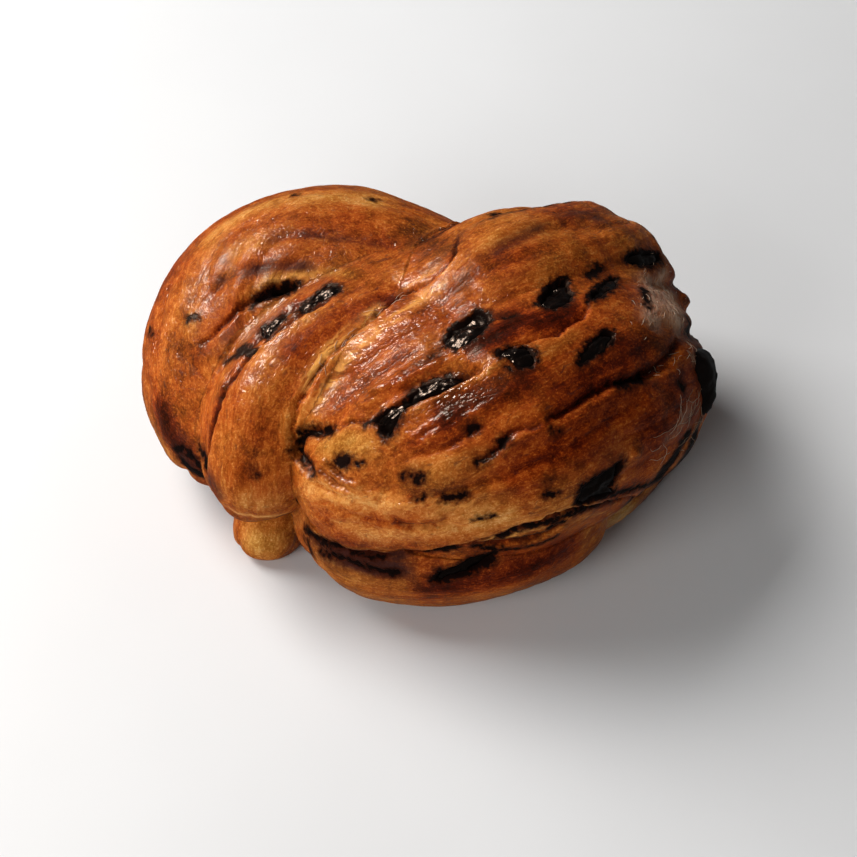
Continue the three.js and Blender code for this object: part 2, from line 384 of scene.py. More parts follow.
points, corners = mesh_arrays(skin)
faces = corners.reshape(-1, 4)
for _ in range(PULL_ROUNDS):
    points = relax(points, faces, EVENED_BY)
    gap, out, each = near_knot(points)
    on_strand = gap < SLAB_CLEARANCE
    points -= np.clip(gap, -PULL_LIMIT, PULL_LIMIT)[:, None] * out * on_strand[:, None]
    points[:, 2] = np.maximum(points[:, 2], 0)
ON_TRAY = 0.02  # mm above the tray below which a point belongs to the underside
off_by = np.percentile(abs(gap[on_strand & (points[:, 2] >= ON_TRAY)]), 99)
print("skin within", round(float(off_by), 2), "mm of the strands")

# %% [markdown]
# ## Where a point lies on its straightened strand
#
# The folds, the streaks and the bubbles of a rolled dough all run lengthwise. Noise taken at a point's plain
# place in space would run in straight lines through the knot. So each point also gets its place on its
# strand as if that strand were pulled straight: how far along, and how far off its middle, sideways and up.
# Noise that is stretched along the first of these three numbers follows every bend. The two rolls of the
# crossing have grown into one lobe, so they share one middle line, halfway between them.
#
# Where a strand bends tightly, two points side by side can lie next to different stretches of its middle
# line, and a pattern would break into blocks there. So each point's numbers are averaged with those of its
# neighbours on the same strand, over and over, until they change smoothly.

# %% The straightened strands
CROSSING = (np.array(STRANDS["crossing_upper"]) + STRANDS["crossing_lower"]) / 2
FLOW_LINES = {  # name: turning points of the middle line, and the strands that are measured along it
    "loop": (STRANDS["left_loop"], ["left_loop", "left_inner"]),
    "band": (STRANDS["inner_band"], ["inner_band"]),
    "crossing": (CROSSING, ["crossing_upper", "crossing_lower"]),
    "front": (STRANDS["front_under"], ["front_under"]),
    "back": (STRANDS["back_under"], ["back_under"]),
    "right": (STRANDS["right_tail"], ["right_tail"]),
    "left": (STRANDS["left_tail"], ["left_tail"]),
}
LOT_SPACING = 200.0  # keeps the noise of different strands apart


def straightened(points, line):
    """A point's place on one straightened strand: along it, then across it in two directions."""
    best = np.full(len(points), np.inf)
    flow = np.zeros_like(points)
    along = directions(line)
    start = 0.0
    for k in range(len(line) - 1):
        step = line[k + 1, :3] - line[k, :3]
        share = (points - line[k, :3]) @ step / (step @ step)
        low = -np.inf if k == 0 else 0.0
        high = np.inf if k == len(line) - 2 else 1.0
        inside = np.clip(share, low, high)
        offset = points - line[k, :3] - np.clip(share, 0, 1)[:, None] * step
        distance = np.linalg.norm(offset, axis=1)
        nearer = distance < best
        ahead = along[k] + np.clip(share, 0, 1)[:, None] * (along[k + 1] - along[k])
        ahead /= np.linalg.norm(ahead, axis=1, keepdims=True)
        side = np.cross(ahead, [0, 0, 1])
        side /= np.linalg.norm(side, axis=1, keepdims=True)
        lift = np.cross(side, ahead)
        length = np.linalg.norm(step)
        across = [(offset * side).sum(axis=1), (offset * lift).sum(axis=1)]
        flow[nearer] = np.stack([start + inside * length, *across], axis=1)[nearer]
        best[nearer] = distance[nearer]
        start += length
    return flow


EVENING_ROUNDS = 40


def evened(values, lot_of, ends):
    """Averages each point's values with its neighbours' on the same strand."""
    here, there = ends[:, lot_of[ends[0]] == lot_of[ends[1]]]
    count = 1 + np.bincount(here, minlength=len(values))[:, None]
    for _ in range(EVENING_ROUNDS):
        values = (values + neighbour_sum(values, here, there)) / count
    return values


def flow_of(points, each, ends):
    """The straightened place of every point, on the strand that it lies nearest to."""
    nearest = np.argmin([each[name][0] for name in NAMES], axis=0)
    flow = np.zeros_like(points)
    lot_of = np.zeros(len(points), dtype=int)
    for number, (turns, strands) in enumerate(FLOW_LINES.values()):
        here = np.isin(nearest, [NAMES.index(name) for name in strands])
        flow[here] = straightened(points[here], smooth_line(turns, CONES_PER_SPAN))
        flow[here, 0] += number * LOT_SPACING
        lot_of[here] = number
    return evened(flow, lot_of, ends)


flow = flow_of(points, each, np.array(neighbours(faces)))
normals = normals_of(points, faces)
print("flow from", flow.min(axis=0).round(), "to", flow.max(axis=0).round())

# %% [markdown]
# ## Unevenness and lengthwise folds
#
# The cut layers open in the oven, so a strand isn't a round tube but a bundle of pillowy ridges with sharp
# creases between them. A sine wave round the strand would give even flutes like a column's. Stretched noise
# is better: its zero lines wander, join and fade as real creases do. The root of its size gives a steep
# crease and a round ridge. On the front the creases that the picture shows are drawn later, so the random
# ones are kept shallow there.

# %% Unevenness and lengthwise folds
SWELL = 0.7  # mm, slow bulges
SWELL_SPAN = 19.0
RIDGE_SPANS = np.array([42.0, 7.0, 7.0])  # mm along and across
RIDGE_SEED = 11
RIDGE_HEIGHT = 2.3
RIDGE_MEAN = 0.45  # the middle of the root, so that ridges rise as much as creases sink
CREASE_ROUNDING = 0.004  # keeps the bottom of a crease from being a knife cut
FINE_SPANS = np.array([20.0, 2.6, 2.6])
FINE_HEIGHT = 0.35
FRONT_SHARE = 0.34  # of the random ridges that is left on the side the picture shows
FINE_LOSS = 0.4  # of the fine folds that is lost there
WANDER = 0.9
WANDER_SPANS = [1.5, 4, 4]  # how many times slower than the noise itself its lines wander
WANDER_SEED = 500
TURNED_AWAY, TURN_SPAN = 0.05, 0.4  # how far past the edge the front still counts, and how softly it ends


def stretched(flow, spans, seed):
    """Noise along the strands, whose lines wander a little sideways."""
    wander = WANDER * smooth_noise(flow / (spans * WANDER_SPANS), seed + WANDER_SEED)
    return smooth_noise(flow / spans + wander[:, None] * [0, 1, 1], seed)


def seen_from_front(normals):
    """1 where the skin faces the camera, 0 where it faces away, with a soft change."""
    facing = np.clip((normals @ BACK + TURNED_AWAY) / TURN_SPAN, 0, 1)
    return facing * facing * (3 - 2 * facing)


front = seen_from_front(normals)
ridge_noise = stretched(flow, RIDGE_SPANS, RIDGE_SEED)
ridges = RIDGE_HEIGHT * (np.sqrt(np.abs(ridge_noise) + CREASE_ROUNDING) - RIDGE_MEAN)
fine = FINE_HEIGHT * stretched(flow, FINE_SPANS, seed=23)
lift = SWELL * smooth_noise(points / SWELL_SPAN, seed=5)
lift += ridges * (1 - (1 - FRONT_SHARE) * front) + fine * (1 - FINE_LOSS * front)
print("ridges from", round(float(lift.min()), 2), "to", round(float(lift.max()), 2), "mm")

# %% [markdown]
# ## Lines drawn on the skin
#
# The splits on top of the bun are what makes it this bun. They could be modelled as curves in space, but it
# is easier to say where the picture shows them and let a ray from the eye find the skin there. Each line then
# exists in space, with a place and a direction out of the skin at each step, so it looks right from any side.

# %% Lines drawn on the skin
LINE_STEPS = 5


def picture_ray(spot):
    """The direction from the eye through a spot of the picture."""
    across, down = np.array(spot) - LOOK_AT_PIXEL
    ray = across * RIGHT - down * RISE - FOCAL_PIXELS * BACK
    return ray / np.linalg.norm(ray)


def skin_tree(points, faces):
    return BVHTree.FromPolygons(points.tolist(), faces.tolist())


def skin_at(spot, tree):
    """The place on the skin, and the direction out of it, that a spot of the picture shows."""
    ray = Vector(picture_ray(spot))
    place, way, _, _ = tree.ray_cast(Vector(EYE), ray)
    if place is None:  # just past the outline: the nearest skin
        place, way, _, _ = tree.find_nearest(Vector(EYE) + ray * DISTANCE)
    return place, way


def on_skin(spots, tree):
    """Places on the skin, and directions out of it, along a smooth line through spots of the picture."""
    hits = [skin_at(spot, tree) for spot in smooth_line(spots, LINE_STEPS)]
    return np.array([place for place, _ in hits]), np.array([way for _, way in hits])


OTHER_SHEET = 5.0  # mm above or below a line, a point is on another strand


def beside(points, places, ways, reach):
    """The points near a line: their numbers, distance, side (1 above, -1 below) and share along it."""
    box_low, box_high = places.min(axis=0) - reach, places.max(axis=0) + reach
    near = np.flatnonzero(((points > box_low) & (points < box_high)).all(axis=1))
    here = points[near]
    best = np.full(len(near), np.inf)
    side, share = np.zeros(len(near)), np.zeros(len(near))
    for k in range(len(places) - 1):
        step = places[k + 1] - places[k]
        part = np.clip((here - places[k]) @ step / (step @ step + 1e-12), 0, 1)
        offset = here - places[k] - part[:, None] * step
        height = offset @ ways[k]
        offset -= height[:, None] * ways[k]
        distance = np.linalg.norm(offset, axis=1) + FAR_AWAY * (np.abs(height) > OTHER_SHEET)
        nearer = distance < best
        best[nearer] = distance[nearer]
        side[nearer] = np.sign(offset[nearer] @ np.cross(ways[k], step))
        share[nearer] = (k + part[nearer]) / (len(places) - 1)
    kept = best < reach
    return near[kept], best[kept], side[kept], share[kept]


tree = skin_tree(points, faces)
places, ways = on_skin([(373, 419), (489, 360)], tree)
print("a line across the crossing is", round(float(np.linalg.norm(places[-1] - places[0]))), "mm long")

# %% [markdown]
# ## The splits and steps of the front
#
# A split is a groove, and mostly one side of it is the edge of a layer that lies over the other side. So
# each line gets a groove of some depth and width, and a step: the side above the line in the picture is
# lowered, slowly rising again further off, while the edge below it keeps a thin raised rim. Softer bulges and
# hollows are brushed on: a line again, with a half width and a height, that fades to both sides.

# %% The splits and steps of the front
SPLITS = {  # name: spots in the picture, groove depth and width, step, all in mm
    "pit at the left end": ([(336, 432), (324, 431), (312, 431), (304, 436), (301, 446), (301, 457),
                             (307, 466), (316, 476)], 2.2, 1.1, 0.0),
    "upper split, thin part": ([(337, 433), (351, 425), (364, 423), (374, 419)], 0.9, 0.5, 0.5),
    "upper split": ([(371, 421), (384, 415), (400, 405), (414, 396), (432, 388), (450, 381), (466, 374),
                     (482, 367)], 2.0, 1.1, 0.0),
    "step below the upper split": ([(404, 411), (414, 404), (430, 396), (450, 386), (468, 378), (484, 369),
                                    (497, 360)], 0.4, 0.5, 0.9),
    "upper split, right part": ([(497, 359), (510, 350), (522, 344), (540, 338), (558, 334), (572, 324),
                                 (584, 317), (592, 306)], 0.6, 0.6, 1.1),
    "middle split": ([(474, 464), (486, 459), (498, 453), (505, 445), (511, 436), (520, 431), (533, 428),
                      (546, 423)], 0.8, 0.7, 0.7),
    "lower split": ([(546, 423), (562, 416), (576, 410), (588, 399), (602, 391), (616, 384), (632, 381),
                     (648, 376), (664, 371), (678, 362)], 1.2, 0.9, 0.9),
    "crack in the left loop": ([(200, 347), (212, 338), (224, 326), (238, 312), (254, 302), (266, 296)],
                               0.9, 0.7, 0.6),
    "slit in the left loop": ([(254, 301), (266, 294), (280, 290), (299, 286)], 1.6, 1.2, 0.2),
    "second groove of the loop": ([(246, 352), (256, 340), (270, 324), (286, 311), (304, 303), (326, 294),
                                   (342, 288)], 0.9, 1.2, 0.3),
    "loop groove above the slit": ([(196, 318), (214, 292), (236, 276), (262, 270), (292, 269), (322, 273)],
                                   0.4, 1.6, 0.1),
    "top groove of the loop": ([(262, 246), (290, 238), (330, 236), (372, 242), (404, 250)], 0.4, 1.4, 0.1),
    "left groove of the loop": ([(168, 356), (176, 330), (190, 306), (206, 284)], 0.35, 1.4, 0.1),
    "upper groove of the crossing": ([(412, 318), (438, 302), (470, 282), (500, 268), (532, 256), (566, 247)],
                                     0.5, 1.8, 0.15),
    "top groove of the crossing": ([(480, 262), (510, 244), (540, 232), (575, 226), (610, 230)],
                                   0.5, 1.8, 0.1),
    "groove over the long lumps": ([(430, 352), (450, 338), (470, 328), (492, 320), (514, 315), (540, 306)],
                                   0.6, 1.0, 0.25),
    "lane above the upper split": ([(352, 398), (372, 380), (398, 362), (424, 346)], 0.5, 1.2, 0.2),
    "second lane above it": ([(366, 404), (388, 388), (412, 370), (440, 354), (462, 345)], 0.45, 0.9, 0.2),
    "string over the middle": ([(392, 450), (410, 441), (430, 431), (452, 420), (470, 411)], 0.3, 0.5, -0.5),
    "lane of the middle": ([(410, 448), (432, 430), (452, 418), (474, 408), (498, 397)], 0.35, 0.8, 0.2),
    "lane below the middle": ([(392, 462), (420, 456), (448, 446), (470, 436), (490, 426)], 0.35, 0.8, 0.2),
    "long lane of the lower roll": ([(360, 486), (396, 494), (430, 496), (470, 488), (520, 474), (566, 452),
                                     (610, 424), (650, 400)], 0.4, 1.2, 0.25),
    "string lane": ([(318, 500), (350, 514), (392, 524), (440, 529), (490, 522), (536, 508)], 0.35, 0.6, 0.2),
    "lip of the band": ([(206, 478), (208, 456), (217, 420), (229, 388), (254, 352), (284, 329), (310, 312),
                         (336, 297)], 0.9, 0.8, 0.8),
    "dimple": ([(386, 512), (398, 521), (420, 526), (442, 522), (450, 515)], 1.0, 0.9, -0.5),
    "second crease of the front": ([(470, 547), (500, 546), (534, 541), (552, 535), (566, 526)],
                                   1.0, 0.9, 0.5),
    "dark hollow of the front": ([(326, 552), (352, 566), (384, 574), (416, 576)], 0.8, 2.0, 0.0),
    "edge of the crossing": ([(297, 448), (296, 432), (298, 418), (304, 399), (317, 377), (330, 358),
                              (347, 342), (364, 325), (382, 311), (402, 297), (427, 281), (442, 267),
                              (452, 256), (456, 244), (458, 233)], 0.7, 0.5, 0.8),
    "crack beside that edge": ([(310, 384), (322, 366), (336, 352)], 0.35, 0.4, 0.0),
    "edge of the lower roll": ([(640, 494), (612, 504), (590, 509), (568, 511), (544, 522), (520, 528),
                                (500, 537), (479, 541), (459, 546), (433, 550), (408, 552), (382, 552),
                                (356, 550), (335, 543), (308, 532)], 0.9, 0.8, 0.9),
    "fold below the pit": ([(356, 482), (344, 477), (334, 469), (328, 461)], 0.9, 0.6, 0.6),
    "second fold below the pit": ([(352, 490), (338, 485), (327, 476), (321, 466)], 0.8, 0.5, 0.5),
    "third fold below the pit": ([(346, 498), (332, 493), (320, 484), (314, 474)], 0.7, 0.5, 0.4),
    "ridge over the hollow": ([(462, 350), (440, 357), (418, 367), (398, 378), (380, 389)], 0.4, 0.6, -0.4),
    "notch of the right end": ([(640, 376), (656, 370), (672, 356), (686, 338)], 1.0, 1.0, 0.6),
}
STEP_SPAN = 4.5  # how far above the line the lowered side comes up again, in mm
STEP_REACH = 3.5  # how many times that far a line has any effect
RIM_SHARE, RIM_SPAN = 0.35, 1.0
TAPER = 4.0  # mm over which a line starts and ends
TAPER_POWER = 0.7  # below 1, so that it is soon at its full strength
RAGGED, RAGGED_SPAN, RAGGED_SEED = 0.45, 1.9, 71  # how unevenly a line's edge runs, in mm


def tapered(share, length):
    """Rises from 0 at both ends of a line to 1 along the middle."""
    return np.clip(np.minimum(share, 1 - share) * length / TAPER, 0, 1) ** TAPER_POWER


def ragged_edge_of(points):
    """How far the edge of a line is off at each point, in mm."""
    return RAGGED * rough_noise(points / RAGGED_SPAN, RAGGED_SEED)


BULGES = {  # name: spots in the picture, half width in pixels, and height in mm
    "ridge over the hollow": ([(376, 391), (396, 380), (416, 370), (436, 360)], 5, 0.7),
    "hollow of the upper split": ([(372, 412), (386, 399), (402, 388), (420, 378), (440, 371), (460, 367)],
                                  8, -1.5),
    "lip under the upper split": ([(410, 413), (430, 400), (451, 389), (467, 380), (491, 367), (502, 359)],
                                  5, 0.7),
    "fold under the middle": ([(420, 440), (450, 424), (480, 408), (510, 396)], 9, 0.5),
    "fold over the pit": ([(318, 415), (345, 408), (368, 396)], 12, 0.6),
    "right of the middle split": ([(505, 452), (520, 440), (545, 431)], 8, 0.6),
    "rim by the pit": ([(358, 486), (344, 481), (331, 472), (324, 463)], 3, 0.7),
    "second rim by the pit": ([(350, 494), (335, 489), (323, 479), (317, 469)], 3, 0.6),
    "right end, shoulder": ([(614, 208), (630, 216), (646, 230)], 12, 0.4),
    "right end, upper": ([(652, 238), (662, 252)], 10, 0.5),
    "right edge, low": ([(672, 484), (658, 497)], 7, -0.7),
    "knob of the right end": ([(682, 297), (684, 302)], 6, 1.5),
    "bead": ([(225, 388), (227, 388)], 4, 1.0),
    "bubble": ([(635, 453), (638, 453)], 5, 0.8),
    "front, left foot": ([(312, 560), (330, 578), (350, 594)], 8, -0.8),
}
BRUSH_REACH = 2.2  # half widths from its middle at which a brush stroke ends


def brush_share(distance, half_width):
    return np.exp(-(distance / half_width) ** 2)


ragged = ragged_edge_of(points)
for spots, depth, width, step in SPLITS.values():
    places, ways = on_skin(spots, tree)
    near, distance, side, share = beside(points, places, ways, STEP_REACH * STEP_SPAN)
    strength = tapered(share, line_length(places))
    off = side * distance + ragged[near]
    groove = depth * np.exp(-(off / width) ** 2)
    lowered = np.where(off > 0, step * np.exp(-off / STEP_SPAN), 0)
    rim = np.where(off <= 0, RIM_SHARE * abs(step) * np.exp(-(off / RIM_SPAN) ** 2), 0)
    lift[near] += strength * (rim - groove - lowered)
for spots, half_width, height in BULGES.values():
    places, ways = on_skin(spots, tree)
    near, distance, _, _ = beside(points, places, ways, BRUSH_REACH * half_width / PIXELS_PER_MM)
    lift[near] += height * brush_share(distance, half_width / PIXELS_PER_MM)
print(len(SPLITS), "lines and", len(BULGES), "bulges, now from", round(float(lift.min()), 1), "to",
      round(float(lift.max()), 1), "mm")

# %% [markdown]
# ## Openings for the lumps
#
# The frame holds nineteen lumps of chocolate. The dough baked round them, so each shows through an opening
# with an irregular outline and a soft rim, a little below the skin. A boolean cut would leave a knife edge.
# Instead the skin is pressed in inside an outline. Where the picture shows the opening its corners are drawn
# there. The lumps on the other sides get a random outline of their own size.

# %% Where each lump lies
LUMPS = sorted(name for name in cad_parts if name.startswith("chocolate"))


def lump_frame(name):
    """A lump's middle, its three directions (long, wide, out) and its half size along each, in mm."""
    corners_of = np.array([vertex.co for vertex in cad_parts[name].data.vertices]) / MM
    middle = (corners_of.min(axis=0) + corners_of.max(axis=0)) / 2
    spread = corners_of - middle
    longest = np.linalg.svd(spread, full_matrices=False)[2][0]
    outward = near_knot(middle[None])[1][0]
    longest = longest - (longest @ outward) * outward
    longest /= np.linalg.norm(longest)
    axes = np.array([longest, np.cross(outward, longest), outward])
    return middle, axes, np.abs(spread @ axes.T).max(axis=0)


lumps = {name: lump_frame(name) for name in LUMPS}
print(len(lumps), "lumps,", round(2 * min(lump[2][0] for lump in lumps.values()), 1), "to",
      round(2 * max(lump[2][0] for lump in lumps.values()), 1), "mm long")

# %% The openings' outlines
OPENINGS = {  # corners in the picture, in order round each opening
    "chocolate_01": [(372, 420), (381, 412), (392, 406), (402, 400), (407, 403), (399, 418), (393, 432),
                     (387, 439), (381, 432), (378, 424)],
    "chocolate_02": [(404, 398), (413, 385), (427, 377), (448, 371), (461, 377), (458, 382), (442, 387),
                     (425, 393), (412, 403)],
    "chocolate_03": [(444, 340), (450, 328), (464, 319), (478, 311), (490, 314), (491, 324), (482, 334),
                     (470, 343), (456, 348), (447, 345)],
    "chocolate_04": [(497, 354), (501, 349), (510, 346), (518, 347), (527, 346), (535, 352), (537, 359),
                     (534, 366), (524, 370), (516, 367), (510, 359), (501, 358)],
    "chocolate_05": [(538, 305), (545, 291), (552, 285), (566, 279), (570, 283), (570, 291), (575, 295),
                     (573, 302), (566, 306), (554, 309), (543, 308)],
    "chocolate_06": [(580, 363), (583, 352), (594, 340), (605, 332), (614, 332), (616, 337), (608, 346),
                     (596, 356), (585, 362)],
    "chocolate_07": [(588, 304), (590, 294), (600, 286), (611, 277), (618, 278), (619, 285), (615, 291),
                     (606, 296), (596, 302)],
    "chocolate_08": [(625, 260), (630, 254), (640, 252), (659, 253), (663, 260), (657, 264), (646, 267),
                     (634, 264)],
    "chocolate_09": [(576, 504), (579, 493), (581, 486), (590, 480), (602, 473), (615, 464), (623, 459),
                     (621, 470), (619, 478), (611, 488), (617, 493), (608, 496), (596, 500), (585, 505)],
    "chocolate_10": [(697, 356), (704, 350), (712, 356), (716, 372), (714, 396), (709, 413), (703, 404),
                     (702, 384), (697, 372)],
    "chocolate_11": [(252, 306), (256, 296), (264, 292), (274, 288), (287, 284), (300, 284), (296, 290),
                     (283, 294), (272, 298), (260, 302)],
    "chocolate_12": [(298, 312), (300, 304), (310, 298), (319, 291), (327, 285), (337, 285), (341, 290),
                     (335, 295), (325, 298), (314, 304), (306, 310)],
    "chocolate_13": [(262, 335), (262, 327), (272, 321), (281, 314), (289, 314), (285, 319), (275, 329),
                     (268, 336)],
    "chocolate_14": [(432, 580), (439, 571), (457, 565), (475, 556), (496, 550), (494, 558), (478, 569),
                     (457, 575), (442, 582)],
}
OUTLINE_CORNERS = 9
CORNER_SHIFT = 0.25  # of the way to the next corner that a random one may be off
CORNER_SIZES = (0.7, 1.05)  # how far out it may lie, compared with its lump
FIRST_OUTLINE_SEED = 60
NEAR_LUMP = 12.0  # mm
OUTSIDE = -4.0  # the value of points further than this from every opening


def edge_depth(flat, corners_of):
    """How far inside a flat outline each point lies, in the outline's units; below 0 outside it."""
    distance = np.full(len(flat), np.inf)
    inside = np.zeros(len(flat), dtype=bool)
    for start, end in zip(corners_of, np.roll(corners_of, -1, axis=0)):
        step = end - start
        share = np.clip((flat - start) @ step / (step @ step), 0, 1)
        distance = np.minimum(distance, np.linalg.norm(flat - start - share[:, None] * step, axis=1))
        crosses = (start[1] > flat[:, 1]) != (end[1] > flat[:, 1])
        rise = step[1] if step[1] else 1e-9
        inside ^= crosses & (flat[:, 0] < start[0] + (flat[:, 1] - start[1]) * step[0] / rise)
    return np.where(inside, distance, -distance)


def opening_outline(name, lump, seed):
    """The corners of a lump's opening, seen along its way out, in mm from its middle."""
    middle, axes, half = lump
    if name in OPENINGS:
        places = np.array([skin_at(spot, tree)[0] for spot in OPENINGS[name]])
        return (places - middle) @ axes[:2].T
    random = np.random.default_rng(seed)
    shifts = random.uniform(-CORNER_SHIFT, CORNER_SHIFT, OUTLINE_CORNERS)
    turns = 2 * math.pi * ((np.arange(OUTLINE_CORNERS) + shifts) / OUTLINE_CORNERS)
    size = random.uniform(*CORNER_SIZES, OUTLINE_CORNERS)
    return np.stack([np.cos(turns), np.sin(turns)], axis=1) * half[:2] * size[:, None]


outlines = {name: opening_outline(name, lump, FIRST_OUTLINE_SEED + number)
            for number, (name, lump) in enumerate(lumps.items())}


def inside_openings(points):
    """How far inside the nearest opening each point lies, in mm."""
    deepest_in = np.full(len(points), OUTSIDE)
    for name, (middle, axes, _) in lumps.items():
        near = np.flatnonzero(np.linalg.norm(points - middle, axis=1) < NEAR_LUMP)
        local = (points[near] - middle) @ axes.T
        depth = np.where(np.abs(local[:, 2]) < OTHER_SHEET, edge_depth(local[:, :2], outlines[name]), OUTSIDE)
        deepest_in[near] = np.maximum(deepest_in[near], depth)
    return deepest_in


# %% Press the openings in
POCKET_DEPTH = 2.0
POCKET_WALL = 1.3  # mm from the rim to the full depth
POCKET_RIM, RIM_WIDTH, RIM_AT = 0.04, 0.8, 0.7  # mm high, mm wide, and how many widths outside the edge
POCKET_RAGGED, POCKET_RAGGED_SPAN = 0.45, 1.5  # mm


def percent(chosen):
    """How many of the points are chosen, in percent."""
    return round(100 * float(chosen.mean()), 1)


into = inside_openings(points) + POCKET_RAGGED * smooth_noise(points / POCKET_RAGGED_SPAN, seed=91)
pressed = np.clip(into / POCKET_WALL, 0, 1)
lift += POCKET_RIM * np.exp(-((into + RIM_AT * RIM_WIDTH) / RIM_WIDTH) ** 2)
lift -= POCKET_DEPTH * pressed * pressed * (3 - 2 * pressed)
print(len(outlines), "openings over", percent(into > 0), "% of the skin")

# %% [markdown]
# ## Notches in the outline
#
# The right end is torn, so its outline jumps in and out. The skin there runs nearly along the line of sight,
# and a dent pressed into one spot of it wouldn't reach the outline. So a notch moves every point that the
# picture shows at its height and near the edge towards the middle, however far away it lies.

# %% Notches in the outline
NOTCHES = {  # name: the deepest spot in the picture, half height in pixels, and depth in mm
    "under the shoulder": ((668, 284), 7, 2.2),
    "over the black lump": ((691, 335), 9, 2.2),
}
NOTCH_FADE = 22.0  # pixels over which a notch fades out towards the middle of the bun


def picture_place(points):
    """The spot of the picture at which each point is seen."""
    offset = points - EYE
    scale = FOCAL_PIXELS / -(offset @ BACK)
    return LOOK_AT_PIXEL + np.stack([offset @ RIGHT * scale, -(offset @ RISE) * scale], axis=1)


def notch_depth(points):
    """How far each point moves to the left, in mm."""
    spots = picture_place(points)
    total = np.zeros(len(points))
    for (across, down), half_height, depth in NOTCHES.values():
        share = np.clip((spots[:, 0] - across) / NOTCH_FADE + 1, 0, 1)
        total += depth * share * share * (3 - 2 * share) * brush_share(spots[:, 1] - down, half_height)
    return total


notches = notch_depth(points)
print("notches up to", round(float(notches.max()), 1), "mm deep")

# %% Apply the sculpting and thin out the flat stretches
MOST_FACES = 192_000  # triangles in one piece
FOOT = 3.0  # mm above the tray over which the sculpting fades in
SOFTENED_BY = 0.25  # the share of the way to its neighbours' middle that each sculpted point goes

lift *= np.clip(points[:, 2] / FOOT, 0, 1)
sculpted = points + lift[:, None] * normals - notches[:, None] * RIGHT
sculpted = relax(sculpted, faces, SOFTENED_BY)
sculpted[:, 2] = np.where(points[:, 2] < ON_TRAY, 0, np.maximum(sculpted[:, 2], 0))
sculpted_mesh = new_mesh("sculpted", sculpted, faces.tolist())
share_kept = min(1.0, MOST_FACES / (2 * len(faces)))
bread_mesh = with_modifier(sculpted_mesh, "DECIMATE", ratio=share_kept)
print("bread:", sum(len(face.vertices) - 2 for face in bread_mesh.polygons), "triangles")

# %% [markdown]
# ## What the material needs to know
#
# The material is made of noise, but it has to know where on the bun it is: where the chocolate shows, where
# the crust is darker or paler, which way the strand runs. Painting an image would tie it to one picture. The
# mesh can carry such facts itself, as named values on its points. A mark of chocolate is stored as the
# distance to its edge, so that the material can cut a crisp, ragged outline that is finer than the mesh.

# %% Places on the finished skin
def edge_ends(mesh):
    """Both ends of every edge, once each way."""
    pairs = np.empty(len(mesh.edges) * 2, dtype=np.int32)
    mesh.edges.foreach_get("vertices", pairs)
    pairs = pairs.reshape(-1, 2)
    return np.concatenate([pairs, pairs[:, ::-1]]).T


points, _ = mesh_arrays(bread_mesh)
_, _, each = near_knot(points)
flow = flow_of(points, each, edge_ends(bread_mesh))
normals = np.empty(len(points) * 3, dtype=np.float32)
bread_mesh.vertex_normals.foreach_get("vector", normals)
normals = normals.reshape(-1, 3).astype(float)
front = seen_from_front(normals)
ridge_noise = stretched(flow, RIDGE_SPANS, RIDGE_SEED)


def stroke(spots, reach):
    """The skin points near a drawn line, their distance from it in mm, and a value that fades at its ends."""
    places, ways = on_skin(spots, tree)
    near, distance, _, share = beside(points, places, ways, reach)
    return near, distance, tapered(share, line_length(places))


# %% [markdown]
# ## Where chocolate shows
#
# Apart from the lumps, chocolate shows as dark lines in the splits, as smears and as small specks. Those on
# the front are drawn where the picture has them. The other sides get the same kinds at random, along the
# creases between the ridges and in short dashes along the strands.

